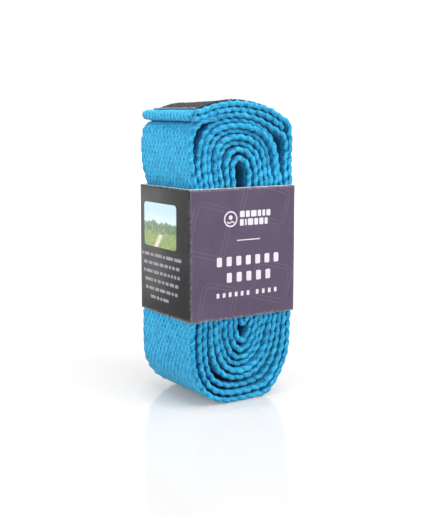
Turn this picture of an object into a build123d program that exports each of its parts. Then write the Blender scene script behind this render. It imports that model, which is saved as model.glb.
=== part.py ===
from build123d import *
import os
import math

# ---------------------------------------------------------------------------
# Stretching strap: heavy flat webbing wound into a flattened roll, stored on
# its rounded end and held by a printed card sleeve.  Row frame in mm: +Z up,
# -Y is the front (the side on which the wound selvedges show), origin at the
# centre of the bottom of the bounding box.
# ---------------------------------------------------------------------------

# driving dimensions
webbing_width = 38.0            # 1.5 inch webbing
webbing_thickness = 1.94        # cotton / polyester belt webbing
webbing_mid_y = -0.25           # middle of the webbing's width
fold_inner_radius = 0.35        # left open on the inside of a tight fold
stitch_gap = 0.02               # sewn-on pieces lie this far off the ply below

card_thickness = 0.4            # sleeve board
card_side_gap = 0.3             # webbing selvedge to board, front and back
sleeve_width = 49.1             # outside, along X
sleeve_height = 50.65           # along Z
sleeve_left_x = -23.70          # outside face of the left panel
sleeve_bottom_z = 34.30         # sleeve's lower edge above the floor
sleeve_fold_radius = 0.55       # outside radius at the folded corners
lap_gap = 0.1                   # adhesive film between the two back laps
inner_lap_end_x = 13.0          # free end of the lap that lies inside
outer_lap_end_x = 0.0           # free end of the lap that lies outside

label_thickness = 0.45          # woven label on the outer loop
label_width = 35.0
label_from = 4.6                # arc distances from the fold of the outer loop
label_to = 35.0
label_thread_height = 0.15      # lock stitch standing proud of the label
label_thread_width = 0.5
label_thread_inset = 1.3

loop_thread_height = 0.25       # bar tacks that close the outer loop
loop_tack_width = 1.3
loop_tack_length = 34.0
loop_tacks_at = (39.5, 43.5)    # arc distances from the fold

inner_tack_height = 0.15        # bar tacks that close the inner loop
inner_tack_width = 1.3
inner_tacks_z = (58.0, 62.0)
inner_tack_side = 1             # 1: right of travel, the face away from the loop

# Centreline of the webbing in the XZ plane, from the cut end of the inner
# loop (inside the turned-back ply), round the inner fold, eight turns
# outwards, over the top and round the fold of the outer loop to the cut end
# of its turned-back ply.
route = [
    (-0.40, 74.82), (-0.60, 66.52), (-0.56, 56.53), (-0.39, 46.54), (-0.10, 37.77), (-0.02, 35.13), (0.05, 33.64),
    (0.29, 32.50), (0.82, 31.66), (1.67, 31.37), (2.48, 31.81), (2.93, 32.72), (3.09, 33.89), (3.04, 35.42),
    (2.85, 38.20), (2.26, 47.36), (1.83, 57.23), (1.80, 66.52), (1.77, 72.69), (1.69, 74.88), (1.40, 76.30),
    (0.92, 77.33), (0.22, 78.00), (-0.64, 78.19), (-1.44, 77.83), (-1.99, 77.00), (-2.33, 75.80), (-2.57, 74.06),
    (-2.81, 70.22), (-3.16, 62.33), (-3.06, 53.17), (-2.76, 43.19), (-2.47, 33.82), (-2.27, 30.11), (-1.88, 27.96),
    (-1.34, 26.46), (-0.67, 25.37), (0.16, 24.65), (1.14, 24.42), (2.10, 24.78), (2.90, 25.60), (3.58, 26.82),
    (4.22, 28.62), (4.88, 31.23), (5.32, 34.51), (5.37, 38.70), (4.95, 46.47), (4.30, 56.44), (3.96, 66.33),
    (3.83, 74.78), (3.56, 83.26), (3.43, 89.27), (3.19, 91.77), (2.76, 93.45), (2.11, 94.69), (1.23, 95.55),
    (0.19, 95.97), (-0.91, 95.93), (-1.92, 95.45), (-2.74, 94.56), (-3.31, 93.30), (-3.59, 91.66), (-3.54, 89.42),
    (-3.33, 86.04), (-3.46, 82.02), (-3.95, 78.16), (-4.61, 74.33), (-5.07, 67.61), (-5.42, 58.18), (-5.32, 49.09),
    (-4.93, 39.10), (-4.64, 31.46), (-4.30, 28.10), (-3.68, 25.64), (-2.91, 23.76), (-2.01, 22.37), (-0.98, 21.40),
    (0.18, 20.86), (1.41, 20.82), (2.61, 21.28), (3.73, 22.16), (4.76, 23.46), (5.69, 25.28), (6.52, 27.81),
    (7.27, 31.13), (7.68, 34.75), (7.66, 39.36), (7.16, 48.07), (6.64, 57.75), (6.55, 67.28), (6.69, 77.27),
    (6.86, 86.56), (6.80, 90.49), (6.43, 93.00), (5.76, 94.99), (4.83, 96.60), (3.64, 97.84), (2.25, 98.72),
    (0.71, 99.20), (-0.87, 99.30), (-2.39, 99.01), (-3.76, 98.35), (-4.92, 97.33), (-5.77, 95.97), (-6.29, 94.27),
    (-6.49, 92.16), (-6.31, 89.28), (-6.04, 85.21), (-6.18, 80.35), (-6.76, 74.27), (-7.37, 65.18), (-7.65, 56.93),
    (-7.52, 47.28), (-7.18, 37.29), (-6.88, 30.31), (-6.40, 26.77), (-5.67, 23.99), (-4.73, 21.77), (-3.66, 20.05),
    (-2.44, 18.78), (-1.09, 17.95), (0.36, 17.53), (1.84, 17.56), (3.30, 18.03), (4.68, 18.94), (5.97, 20.28),
    (7.14, 22.06), (8.14, 24.34), (8.96, 27.29), (9.62, 31.10), (9.94, 35.25), (9.83, 41.09), (9.33, 50.96),
    (9.01, 60.70), (9.06, 70.68), (9.27, 80.67), (9.43, 88.73), (9.30, 92.19), (8.86, 94.63), (8.11, 96.62),
    (7.02, 98.28), (5.63, 99.66), (3.96, 100.72), (2.06, 101.46), (0.03, 101.84), (-1.98, 101.85), (-3.84, 101.51),
    (-5.48, 100.80), (-6.87, 99.77), (-7.94, 98.40), (-8.71, 96.71), (-9.15, 94.67), (-9.26, 92.13), (-8.97, 88.60),
    (-8.73, 83.99), (-8.95, 77.48), (-9.56, 67.53), (-9.87, 58.56), (-9.77, 48.78), (-9.47, 38.79), (-9.13, 30.80),
    (-8.66, 26.68), (-7.93, 23.47), (-6.98, 20.88), (-5.85, 18.80), (-4.56, 17.18), (-3.12, 15.99), (-1.55, 15.21),
    (0.14, 14.86), (1.87, 14.91), (3.60, 15.38), (5.26, 16.26), (6.81, 17.55), (8.21, 19.26), (9.44, 21.40),
    (10.46, 23.99), (11.24, 27.28), (11.86, 31.47), (12.11, 36.12), (11.94, 43.75), (11.58, 53.74), (11.44, 63.73),
    (11.52, 73.72), (11.77, 83.69), (12.09, 90.02), (12.03, 93.17), (11.62, 95.57), (10.86, 97.60), (9.74, 99.35),
    (8.28, 100.86), (6.47, 102.14), (4.35, 103.14), (2.00, 103.82), (-0.48, 104.13), (-2.89, 104.07), (-5.06, 103.67),
    (-6.94, 102.95), (-8.51, 101.91), (-9.78, 100.57), (-10.72, 98.90), (-11.34, 96.88), (-11.67, 94.39), (-11.67, 91.16),
    (-11.32, 86.57), (-11.29, 80.85), (-11.70, 71.45), (-12.07, 61.60), (-12.05, 51.83), (-11.79, 41.84), (-11.45, 32.18),
    (-11.05, 26.82), (-10.42, 23.09), (-9.57, 20.15), (-8.52, 17.77), (-7.27, 15.87), (-5.84, 14.38), (-4.22, 13.28),
    (-2.39, 12.58), (-0.38, 12.27), (1.75, 12.32), (3.87, 12.73), (5.85, 13.53), (7.66, 14.71), (9.29, 16.28),
    (10.71, 18.21), (11.91, 20.54), (12.86, 23.35), (13.60, 26.91), (14.16, 31.57), (14.36, 36.95), (14.18, 45.93),
    (13.93, 55.92), (13.88, 65.91), (13.96, 75.90), (14.19, 85.79), (14.40, 91.26), (14.19, 94.44), (13.65, 97.01),
    (12.81, 99.20), (11.64, 101.08), (10.15, 102.68), (8.34, 104.02), (6.20, 105.06), (3.70, 105.83), (0.86, 106.27),
    (-2.08, 106.37), (-4.74, 106.13), (-7.03, 105.55), (-8.98, 104.67), (-10.60, 103.48), (-11.92, 102.02), (-12.91, 100.26),
    (-13.57, 98.13), (-13.95, 95.48), (-14.03, 92.12), (-13.70, 87.46), (-13.59, 81.72), (-13.93, 72.53), (-14.29, 62.55),
    (-14.32, 52.56), (-14.13, 42.57), (-13.79, 32.59), (-13.31, 25.02), (-12.79, 21.23), (-12.05, 18.39), (-11.02, 16.06),
    (-9.75, 14.10), (-8.27, 12.50), (-6.55, 11.27), (-4.57, 10.40), (-2.32, 9.87), (0.20, 9.68), (2.74, 9.83),
    (5.08, 10.35), (7.22, 11.25), (9.17, 12.53), (10.95, 14.19), (12.53, 16.20), (13.86, 18.57), (14.93, 21.37),
    (15.76, 24.70), (16.33, 28.93), (16.67, 34.38), (16.63, 42.54), (16.42, 52.53), (16.31, 62.52), (16.34, 72.51),
    (16.45, 82.50), (16.63, 90.36), (16.47, 94.23), (15.98, 97.21), (15.22, 99.65), (14.17, 101.70), (12.80, 103.44),
    (11.06, 104.93), (8.90, 106.20), (6.36, 107.29), (3.51, 108.03), (0.37, 108.45), (-2.87, 108.49), (-5.86, 108.18),
    (-8.42, 107.57), (-10.55, 106.68), (-12.32, 105.52), (-13.75, 104.08), (-14.86, 102.34), (-15.66, 100.25), (-16.17, 97.71),
    (-16.39, 94.52), (-16.23, 90.36), (-15.88, 85.09), (-15.95, 78.14), (-16.35, 68.16), (-16.59, 58.18), (-16.56, 48.19),
    (-16.40, 38.20), (-16.07, 28.21), (-15.75, 21.74), (-15.25, 17.99), (-14.53, 15.17), (-13.58, 12.90), (-12.36, 11.04),
    (-10.87, 9.51), (-9.07, 8.29), (-6.92, 7.37), (-4.35, 6.73), (-1.35, 6.38), (1.75, 6.37), (4.63, 6.73),
    (7.20, 7.43), (9.48, 8.46), (11.51, 9.84), (13.34, 11.59), (14.94, 13.68), (16.30, 16.13), (17.38, 18.96),
    (18.19, 22.26), (18.72, 26.25), (18.99, 32.02), (18.98, 41.21), (18.83, 51.20), (18.75, 61.19), (18.75, 71.18),
    (18.81, 81.17), (18.88, 90.10), (18.67, 94.61), (18.20, 97.87), (17.49, 100.41), (16.47, 102.51), (15.08, 104.34),
    (13.30, 105.98), (11.09, 107.46), (8.44, 108.74), (5.51, 109.75), (2.40, 110.38), (-0.94, 110.63), (-4.39, 110.51),
    (-7.52, 110.05), (-10.18, 109.30), (-12.42, 108.29), (-14.27, 107.02), (-15.77, 105.51), (-16.94, 103.72), (-17.78, 101.60),
    (-18.33, 99.00), (-18.61, 95.69), (-18.56, 91.47), (-18.18, 86.01), (-18.19, 79.26), (-18.54, 69.31), (-18.82, 59.32),
    (-18.87, 49.33), (-18.81, 39.34), (-18.56, 29.35), (-18.36, 21.59), (-17.98, 17.51), (-17.33, 14.39), (-16.43, 11.84),
    (-15.28, 9.71), (-13.85, 7.94), (-12.13, 6.48), (-10.10, 5.32), (-7.71, 4.44), (-4.83, 3.85), (-1.40, 3.55),
    (2.20, 3.58), (5.40, 3.97), (8.15, 4.67), (10.57, 5.69), (12.71, 7.05), (14.63, 8.77), (16.35, 10.86),
    (17.86, 13.35), (19.12, 16.20), (20.09, 19.42), (20.76, 23.16), (21.14, 27.93), (21.27, 36.04), (21.23, 46.03),
    (21.19, 56.02), (21.20, 66.01), (21.24, 76.00), (21.41, 85.99), (21.72, 95.28), (21.73, 99.26), (21.50, 101.50),
    (20.98, 103.22), (19.98, 104.60), (18.36, 105.75), (15.45, 107.42), (11.09, 109.86), (7.89, 111.23), (4.73, 112.11),
    (1.35, 112.62), (-2.21, 112.76), (-5.98, 112.48), (-10.03, 111.78), (-13.85, 110.75), (-16.41, 109.88), (-18.18, 108.94),
    (-19.47, 107.71), (-20.39, 106.16), (-20.99, 104.22), (-21.34, 101.75), (-21.39, 98.36), (-21.01, 92.99), (-20.45, 86.65),
    (-20.39, 80.42), (-20.71, 70.67), (-21.03, 60.69), (-21.15, 50.70), (-21.18, 40.70), (-21.10, 30.71), (-20.95, 22.33),
    (-20.59, 17.77), (-19.96, 14.30), (-19.04, 11.38), (-17.86, 8.87), (-16.42, 6.74), (-14.76, 4.97), (-12.85, 3.54),
    (-10.66, 2.44), (-8.13, 1.64), (-5.08, 0.97), (-1.18, 0.97), (3.06, 0.97), (6.45, 1.50), (9.24, 2.21),
    (11.69, 3.28), (13.92, 4.68), (15.95, 6.46), (17.79, 8.63), (19.46, 11.23), (20.86, 14.11), (21.91, 17.22),
    (22.65, 20.87), (23.17, 25.75), (23.49, 33.03), (23.58, 42.99), (23.61, 52.98), (23.62, 62.97), (23.62, 72.96),
    (23.63, 82.96), (23.82, 92.94), (23.93, 100.68), (23.83, 103.71), (23.46, 105.76), (22.71, 107.40), (21.51, 108.77),
    (19.59, 109.98), (15.87, 112.11), (11.75, 114.21), (8.22, 115.58), (4.88, 116.45), (1.37, 116.90), (-2.54, 116.99),
    (-6.65, 116.70), (-10.76, 116.00), (-15.22, 114.79), (-18.75, 113.69), (-20.76, 113.26), (-22.12, 113.11), (-23.23, 113.04),
    (-24.09, 112.68), (-24.34, 111.87), (-23.87, 111.15), (-22.96, 110.91), (-21.85, 110.96), (-20.47, 111.07), (-18.51, 111.49),
    (-15.26, 112.54), (-10.84, 113.78), (-6.72, 114.53), (-2.75, 114.86), (1.01, 114.79), (4.47, 114.34), (7.74, 113.50),
    (11.08, 112.19), (15.27, 109.99), (20.38, 107.00),
]
inner_loop_last = 19            # route point where the inner loop's ply leaves the loop
hinge_at = 467                   # route point at the top right corner, where the outer loop lifts

half = webbing_thickness / 2.0
front_y = webbing_mid_y - webbing_width / 2.0


def headings(points):
    """Unit direction at every point of an open route (mean of its two runs)."""
    out = []
    n = len(points)
    for i in range(n):
        ax, az = points[max(i - 1, 0)]
        bx, bz = points[i]
        cx, cz = points[min(i + 1, n - 1)]
        ux, uz = bx - ax, bz - az
        vx, vz = cx - bx, cz - bz
        lu = math.hypot(ux, uz) or 1.0
        lv = math.hypot(vx, vz) or 1.0
        sx, sz = ux / lu + vx / lv, uz / lu + vz / lv
        ls = math.hypot(sx, sz)
        out.append((sx / ls, sz / ls))
    return out


def side(points, dirs, distance):
    """Points moved to the outer side of the winding (right of travel)."""
    out = []
    n = len(points)
    for i in range(n):
        x, z = points[i]
        tx, tz = dirs[i]
        ax, az = points[max(i - 1, 0)]
        cx, cz = points[min(i + 1, n - 1)]
        ux, uz = x - ax, z - az
        vx, vz = cx - x, cz - z
        lu = math.hypot(ux, uz)
        lv = math.hypot(vx, vz)
        # mitre, so that the run keeps its true thickness between two points
        cosine = 1.0 if lu == 0 else max(0.6, (ux * tx + uz * tz) / lu)
        d = distance / cosine
        if lu > 0 and lv > 0:
            # the fabric is squeezed on the inside of a tight fold
            turn = math.atan2(ux * vz - uz * vx, ux * vx + uz * vz)
            if turn * d < 0 and abs(turn) > 0.02:
                radius = 0.5 * (lu + lv) / abs(turn)
                limit = max(0.2, radius - fold_inner_radius)
                d = max(-limit, min(limit, d))
        out.append((x + tz * d, z - tx * d))
    return out


def band(points, dirs, inner, outer, y0, y1):
    """Solid between two distances from a route, from y0 to y1."""
    a = side(points, dirs, inner)
    b = side(points, dirs, outer)
    ring = a + b[::-1]
    wire = Polyline(*[(x, y0, z) for x, z in ring], close=True)
    face = make_face(wire.edges())
    return extrude(face, amount=y1 - y0, dir=(0, 1, 0))


dirs = headings(route)
y_front = front_y
y_back = front_y + webbing_width


def ply(i0, i1):
    return band(route[i0:i1 + 1], dirs[i0:i1 + 1], -half, half, y_front, y_back)


last = len(route) - 1
webbing_inner_loop = ply(0, inner_loop_last)
webbing_roll = ply(inner_loop_last, hinge_at)
webbing_outer_loop = ply(hinge_at, last)

# arc length along the route, to place the label and the stitching
arc = [0.0]
for (ax, az), (bx, bz) in zip(route[:-1], route[1:]):
    arc.append(arc[-1] + math.hypot(bx - ax, bz - az))
fold_index = min(range(hinge_at, last), key=lambda i: route[i][0])


def at(s):
    """Route point and heading at an arc length."""
    for i in range(len(arc) - 1):
        if arc[i] <= s <= arc[i + 1]:
            f = (s - arc[i]) / (arc[i + 1] - arc[i])
            (ax, az), (bx, bz) = route[i], route[i + 1]
            (ux, uz), (vx, vz) = dirs[i], dirs[i + 1]
            dx, dz = ux + f * (vx - ux), uz + f * (vz - uz)
            ln = math.hypot(dx, dz)
            return (ax + f * (bx - ax), az + f * (bz - az)), (dx / ln, dz / ln)
    raise ValueError(s)


def stretch(s0, s1):
    """Route points and headings between two arc lengths, ends included."""
    pts, hds = [], []
    p, h = at(s0)
    pts.append(p)
    hds.append(h)
    for i in range(len(arc)):
        if s0 + 0.05 < arc[i] < s1 - 0.05:
            pts.append(route[i])
            hds.append(dirs[i])
    p, h = at(s1)
    pts.append(p)
    hds.append(h)
    return pts, hds


s_fold = arc[fold_index]


def on_loop(d0, d1, low, high, y0, y1):
    """Thin piece on the outer face of the outer loop, d0..d1 from its fold."""
    pts, hds = stretch(s_fold - d1, s_fold - d0)
    return band(pts, hds, half + stitch_gap + low, half + stitch_gap + high, y0, y1)


# woven label sewn flat on the outer loop
y_l0 = webbing_mid_y - label_width / 2.0
y_l1 = webbing_mid_y + label_width / 2.0
loop_label = on_loop(label_from, label_to, 0.0, label_thickness, y_l0, y_l1)

# lock stitch round the label's four sides
lo = label_thickness + stitch_gap
hi = lo + label_thread_height
w, e = label_thread_width, label_thread_inset
label_rows = [
    on_loop(label_from + e, label_from + e + w, lo, hi, y_l0 + e, y_l1 - e),
    on_loop(label_to - e - w, label_to - e, lo, hi, y_l0 + e, y_l1 - e),
    on_loop(label_from + e + w + 0.2, label_to - e - w - 0.2, lo, hi, y_l0 + e, y_l0 + e + w),
    on_loop(label_from + e + w + 0.2, label_to - e - w - 0.2, lo, hi, y_l1 - e - w, y_l1 - e),
]
label_stitching = Compound(label_rows)

# bar tacks that close the outer loop, across its outer face
tacks = [
    on_loop(d, d + loop_tack_width, 0.0, loop_thread_height,
            webbing_mid_y - loop_tack_length / 2.0, webbing_mid_y + loop_tack_length / 2.0)
    for d in loop_tacks_at
]
outer_loop_stitching = Compound(tacks)

# bar tacks that close the inner loop, on the face of its turned-back ply
inner_tacks = []
for z in inner_tacks_z:
    i = min(range(0, inner_loop_last // 2), key=lambda j: abs(route[j][1] - z))
    s = arc[0]
    for j in range(len(arc) - 1):
        z0, z1 = route[j][1], route[j + 1][1]
        if (z0 - z) * (z1 - z) <= 0:
            s = arc[j] + (arc[j + 1] - arc[j]) * ((z - z0) / (z1 - z0))
            break
    pts, hds = stretch(s, s + inner_tack_width)
    inner_tacks.append(band(pts, hds, half + stitch_gap, half + stitch_gap + inner_tack_height,
                            webbing_mid_y - loop_tack_length / 2.0,
                            webbing_mid_y + loop_tack_length / 2.0)
                       if inner_tack_side > 0 else
                       band(pts, hds, -half - stitch_gap - inner_tack_height, -half - stitch_gap,
                            webbing_mid_y - loop_tack_length / 2.0,
                            webbing_mid_y + loop_tack_length / 2.0))
inner_loop_stitching = Compound(inner_tacks)

# ---------------------------------------------------------------------------
# Card sleeve: one strip of board folded at four corners, its two ends lapped
# and glued at the back.
# ---------------------------------------------------------------------------
t = card_thickness
xl = sleeve_left_x
xr = sleeve_left_x + sleeve_width
yf = front_y - card_side_gap - t            # outside of the front panel
yb = y_back + card_side_gap + t             # outside of the inner back lap
yo = yb + lap_gap + t                       # outside of the outer back lap
z0 = sleeve_bottom_z
z1 = sleeve_bottom_z + sleeve_height
r = sleeve_fold_radius
q = r * (1.0 - math.sqrt(0.5))

with BuildSketch(Plane.XY.offset(z0)) as strip:
    with BuildLine():
        # outside of the board, from the inner lap's end round to the outer lap's end
        Line((inner_lap_end_x, yb), (xl + r, yb))
        ThreePointArc((xl + r, yb), (xl + q, yb - q), (xl, yb - r))
        Line((xl, yb - r), (xl, yf + r))
        ThreePointArc((xl, yf + r), (xl + q, yf + q), (xl + r, yf))
        Line((xl + r, yf), (xr - r, yf))
        ThreePointArc((xr - r, yf), (xr - q, yf + q), (xr, yf + r))
        Line((xr, yf + r), (xr, yo - r))
        ThreePointArc((xr, yo - r), (xr - q, yo - q), (xr - r, yo))
        Line((xr - r, yo), (outer_lap_end_x, yo))
        Line((outer_lap_end_x, yo), (outer_lap_end_x, yo - t))
        # and back along the inside
        ri = r - t
        qi = ri * (1.0 - math.sqrt(0.5))
        Line((outer_lap_end_x, yo - t), (xr - r, yo - t))
        ThreePointArc((xr - r, yo - t), (xr - t - qi, yo - t - qi), (xr - t, yo - r))
        Line((xr - t, yo - r), (xr - t, yf + r))
        ThreePointArc((xr - t, yf + r), (xr - t - qi, yf + t + qi), (xr - r, yf + t))
        Line((xr - r, yf + t), (xl + r, yf + t))
        ThreePointArc((xl + r, yf + t), (xl + t + qi, yf + t + qi), (xl + t, yf + r))
        Line((xl + t, yf + r), (xl + t, yb - r))
        ThreePointArc((xl + t, yb - r), (xl + t + qi, yb - t - qi), (xl + r, yb - t))
        Line((xl + r, yb - t), (inner_lap_end_x, yb - t))
        Line((inner_lap_end_x, yb - t), (inner_lap_end_x, yb))
    make_face()
card_sleeve = extrude(strip.sketch, amount=sleeve_height)

glue_margin = 1.0
sleeve_glue_strip = Pos((outer_lap_end_x + inner_lap_end_x) / 2.0, yb + lap_gap / 2.0,
                        (z0 + z1) / 2.0) * Box(
    inner_lap_end_x - outer_lap_end_x - 2 * glue_margin, lap_gap,
    sleeve_height - 2 * glue_margin)

nodes = {
    "webbing_roll": webbing_roll,
    "webbing_inner_loop": webbing_inner_loop,
    "webbing_outer_loop": webbing_outer_loop,
    "inner_loop_stitching": inner_loop_stitching,
    "outer_loop_stitching": outer_loop_stitching,
    "loop_label": loop_label,
    "label_stitching": label_stitching,
    "card_sleeve": card_sleeve,
    "sleeve_glue_strip": sleeve_glue_strip,
}

os.makedirs("parts", exist_ok=True)
for name, shape in nodes.items():
    shape.label = name
    export_step(shape, "parts/" + name + ".step")

everything = Compound([s for s in nodes.values()])
bb = everything.bounding_box()
print("box", bb.min, bb.max)
hx, hz = route[hinge_at]
tx, tz = dirs[hinge_at]
print("hinge axis", round(hx + tz * half, 3), round(hz - tx * half, 3), "heading", tx, tz)
print("arc", round(arc[-1], 1), "fold at", round(s_fold, 1), "hinge at", round(arc[hinge_at], 1),
      "outer loop flat", round(s_fold - arc[hinge_at], 1), "turned back", round(arc[-1] - s_fold, 1))
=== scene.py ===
import json
import math
import bpy
import numpy as np
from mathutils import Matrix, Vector


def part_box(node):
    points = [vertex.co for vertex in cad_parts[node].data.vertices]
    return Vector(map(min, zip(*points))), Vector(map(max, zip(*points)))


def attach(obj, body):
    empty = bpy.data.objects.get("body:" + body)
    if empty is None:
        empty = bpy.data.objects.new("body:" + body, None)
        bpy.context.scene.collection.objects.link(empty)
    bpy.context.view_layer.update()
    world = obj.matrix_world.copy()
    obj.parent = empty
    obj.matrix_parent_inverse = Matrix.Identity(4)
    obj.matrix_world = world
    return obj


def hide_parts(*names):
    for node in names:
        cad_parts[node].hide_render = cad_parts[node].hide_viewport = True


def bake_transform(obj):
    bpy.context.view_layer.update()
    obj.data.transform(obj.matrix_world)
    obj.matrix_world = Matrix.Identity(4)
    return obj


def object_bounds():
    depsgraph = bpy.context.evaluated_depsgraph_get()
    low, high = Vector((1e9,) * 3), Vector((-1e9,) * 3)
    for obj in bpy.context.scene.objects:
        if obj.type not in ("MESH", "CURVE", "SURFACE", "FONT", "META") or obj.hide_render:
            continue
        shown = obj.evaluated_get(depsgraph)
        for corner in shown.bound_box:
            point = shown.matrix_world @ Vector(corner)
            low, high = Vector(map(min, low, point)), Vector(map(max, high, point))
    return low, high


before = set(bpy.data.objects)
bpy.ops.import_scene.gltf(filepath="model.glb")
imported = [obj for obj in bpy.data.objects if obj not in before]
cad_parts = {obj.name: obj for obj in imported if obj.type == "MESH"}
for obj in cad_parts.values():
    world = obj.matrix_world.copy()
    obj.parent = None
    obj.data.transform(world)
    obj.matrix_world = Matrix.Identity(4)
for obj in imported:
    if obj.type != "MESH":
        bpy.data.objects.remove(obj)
cad_lo, cad_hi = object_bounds()

MM = 0.001
rng = np.random.default_rng(7)

# ---------------------------------------------------------------------------
# dimensions, in mm, row frame: +Z up, -Y front
# ---------------------------------------------------------------------------
WEB_W = 38.0
WEB_T = 1.94
HALF = WEB_T / 2
MID_Y = -0.25
FRONT_Y = MID_Y - WEB_W / 2
BACK_Y = MID_Y + WEB_W / 2
PERIOD = 3.92           # one warp float plus one gap, along the webbing
FACE_COLS = 28          # warp ends across one face
SLEEVE_Z0, SLEEVE_Z1 = 34.30, 84.95
SLEEVE_X0, SLEEVE_X1 = -23.70, 25.40
SLEEVE_YF, SLEEVE_YB = -19.95, 19.95

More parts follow.
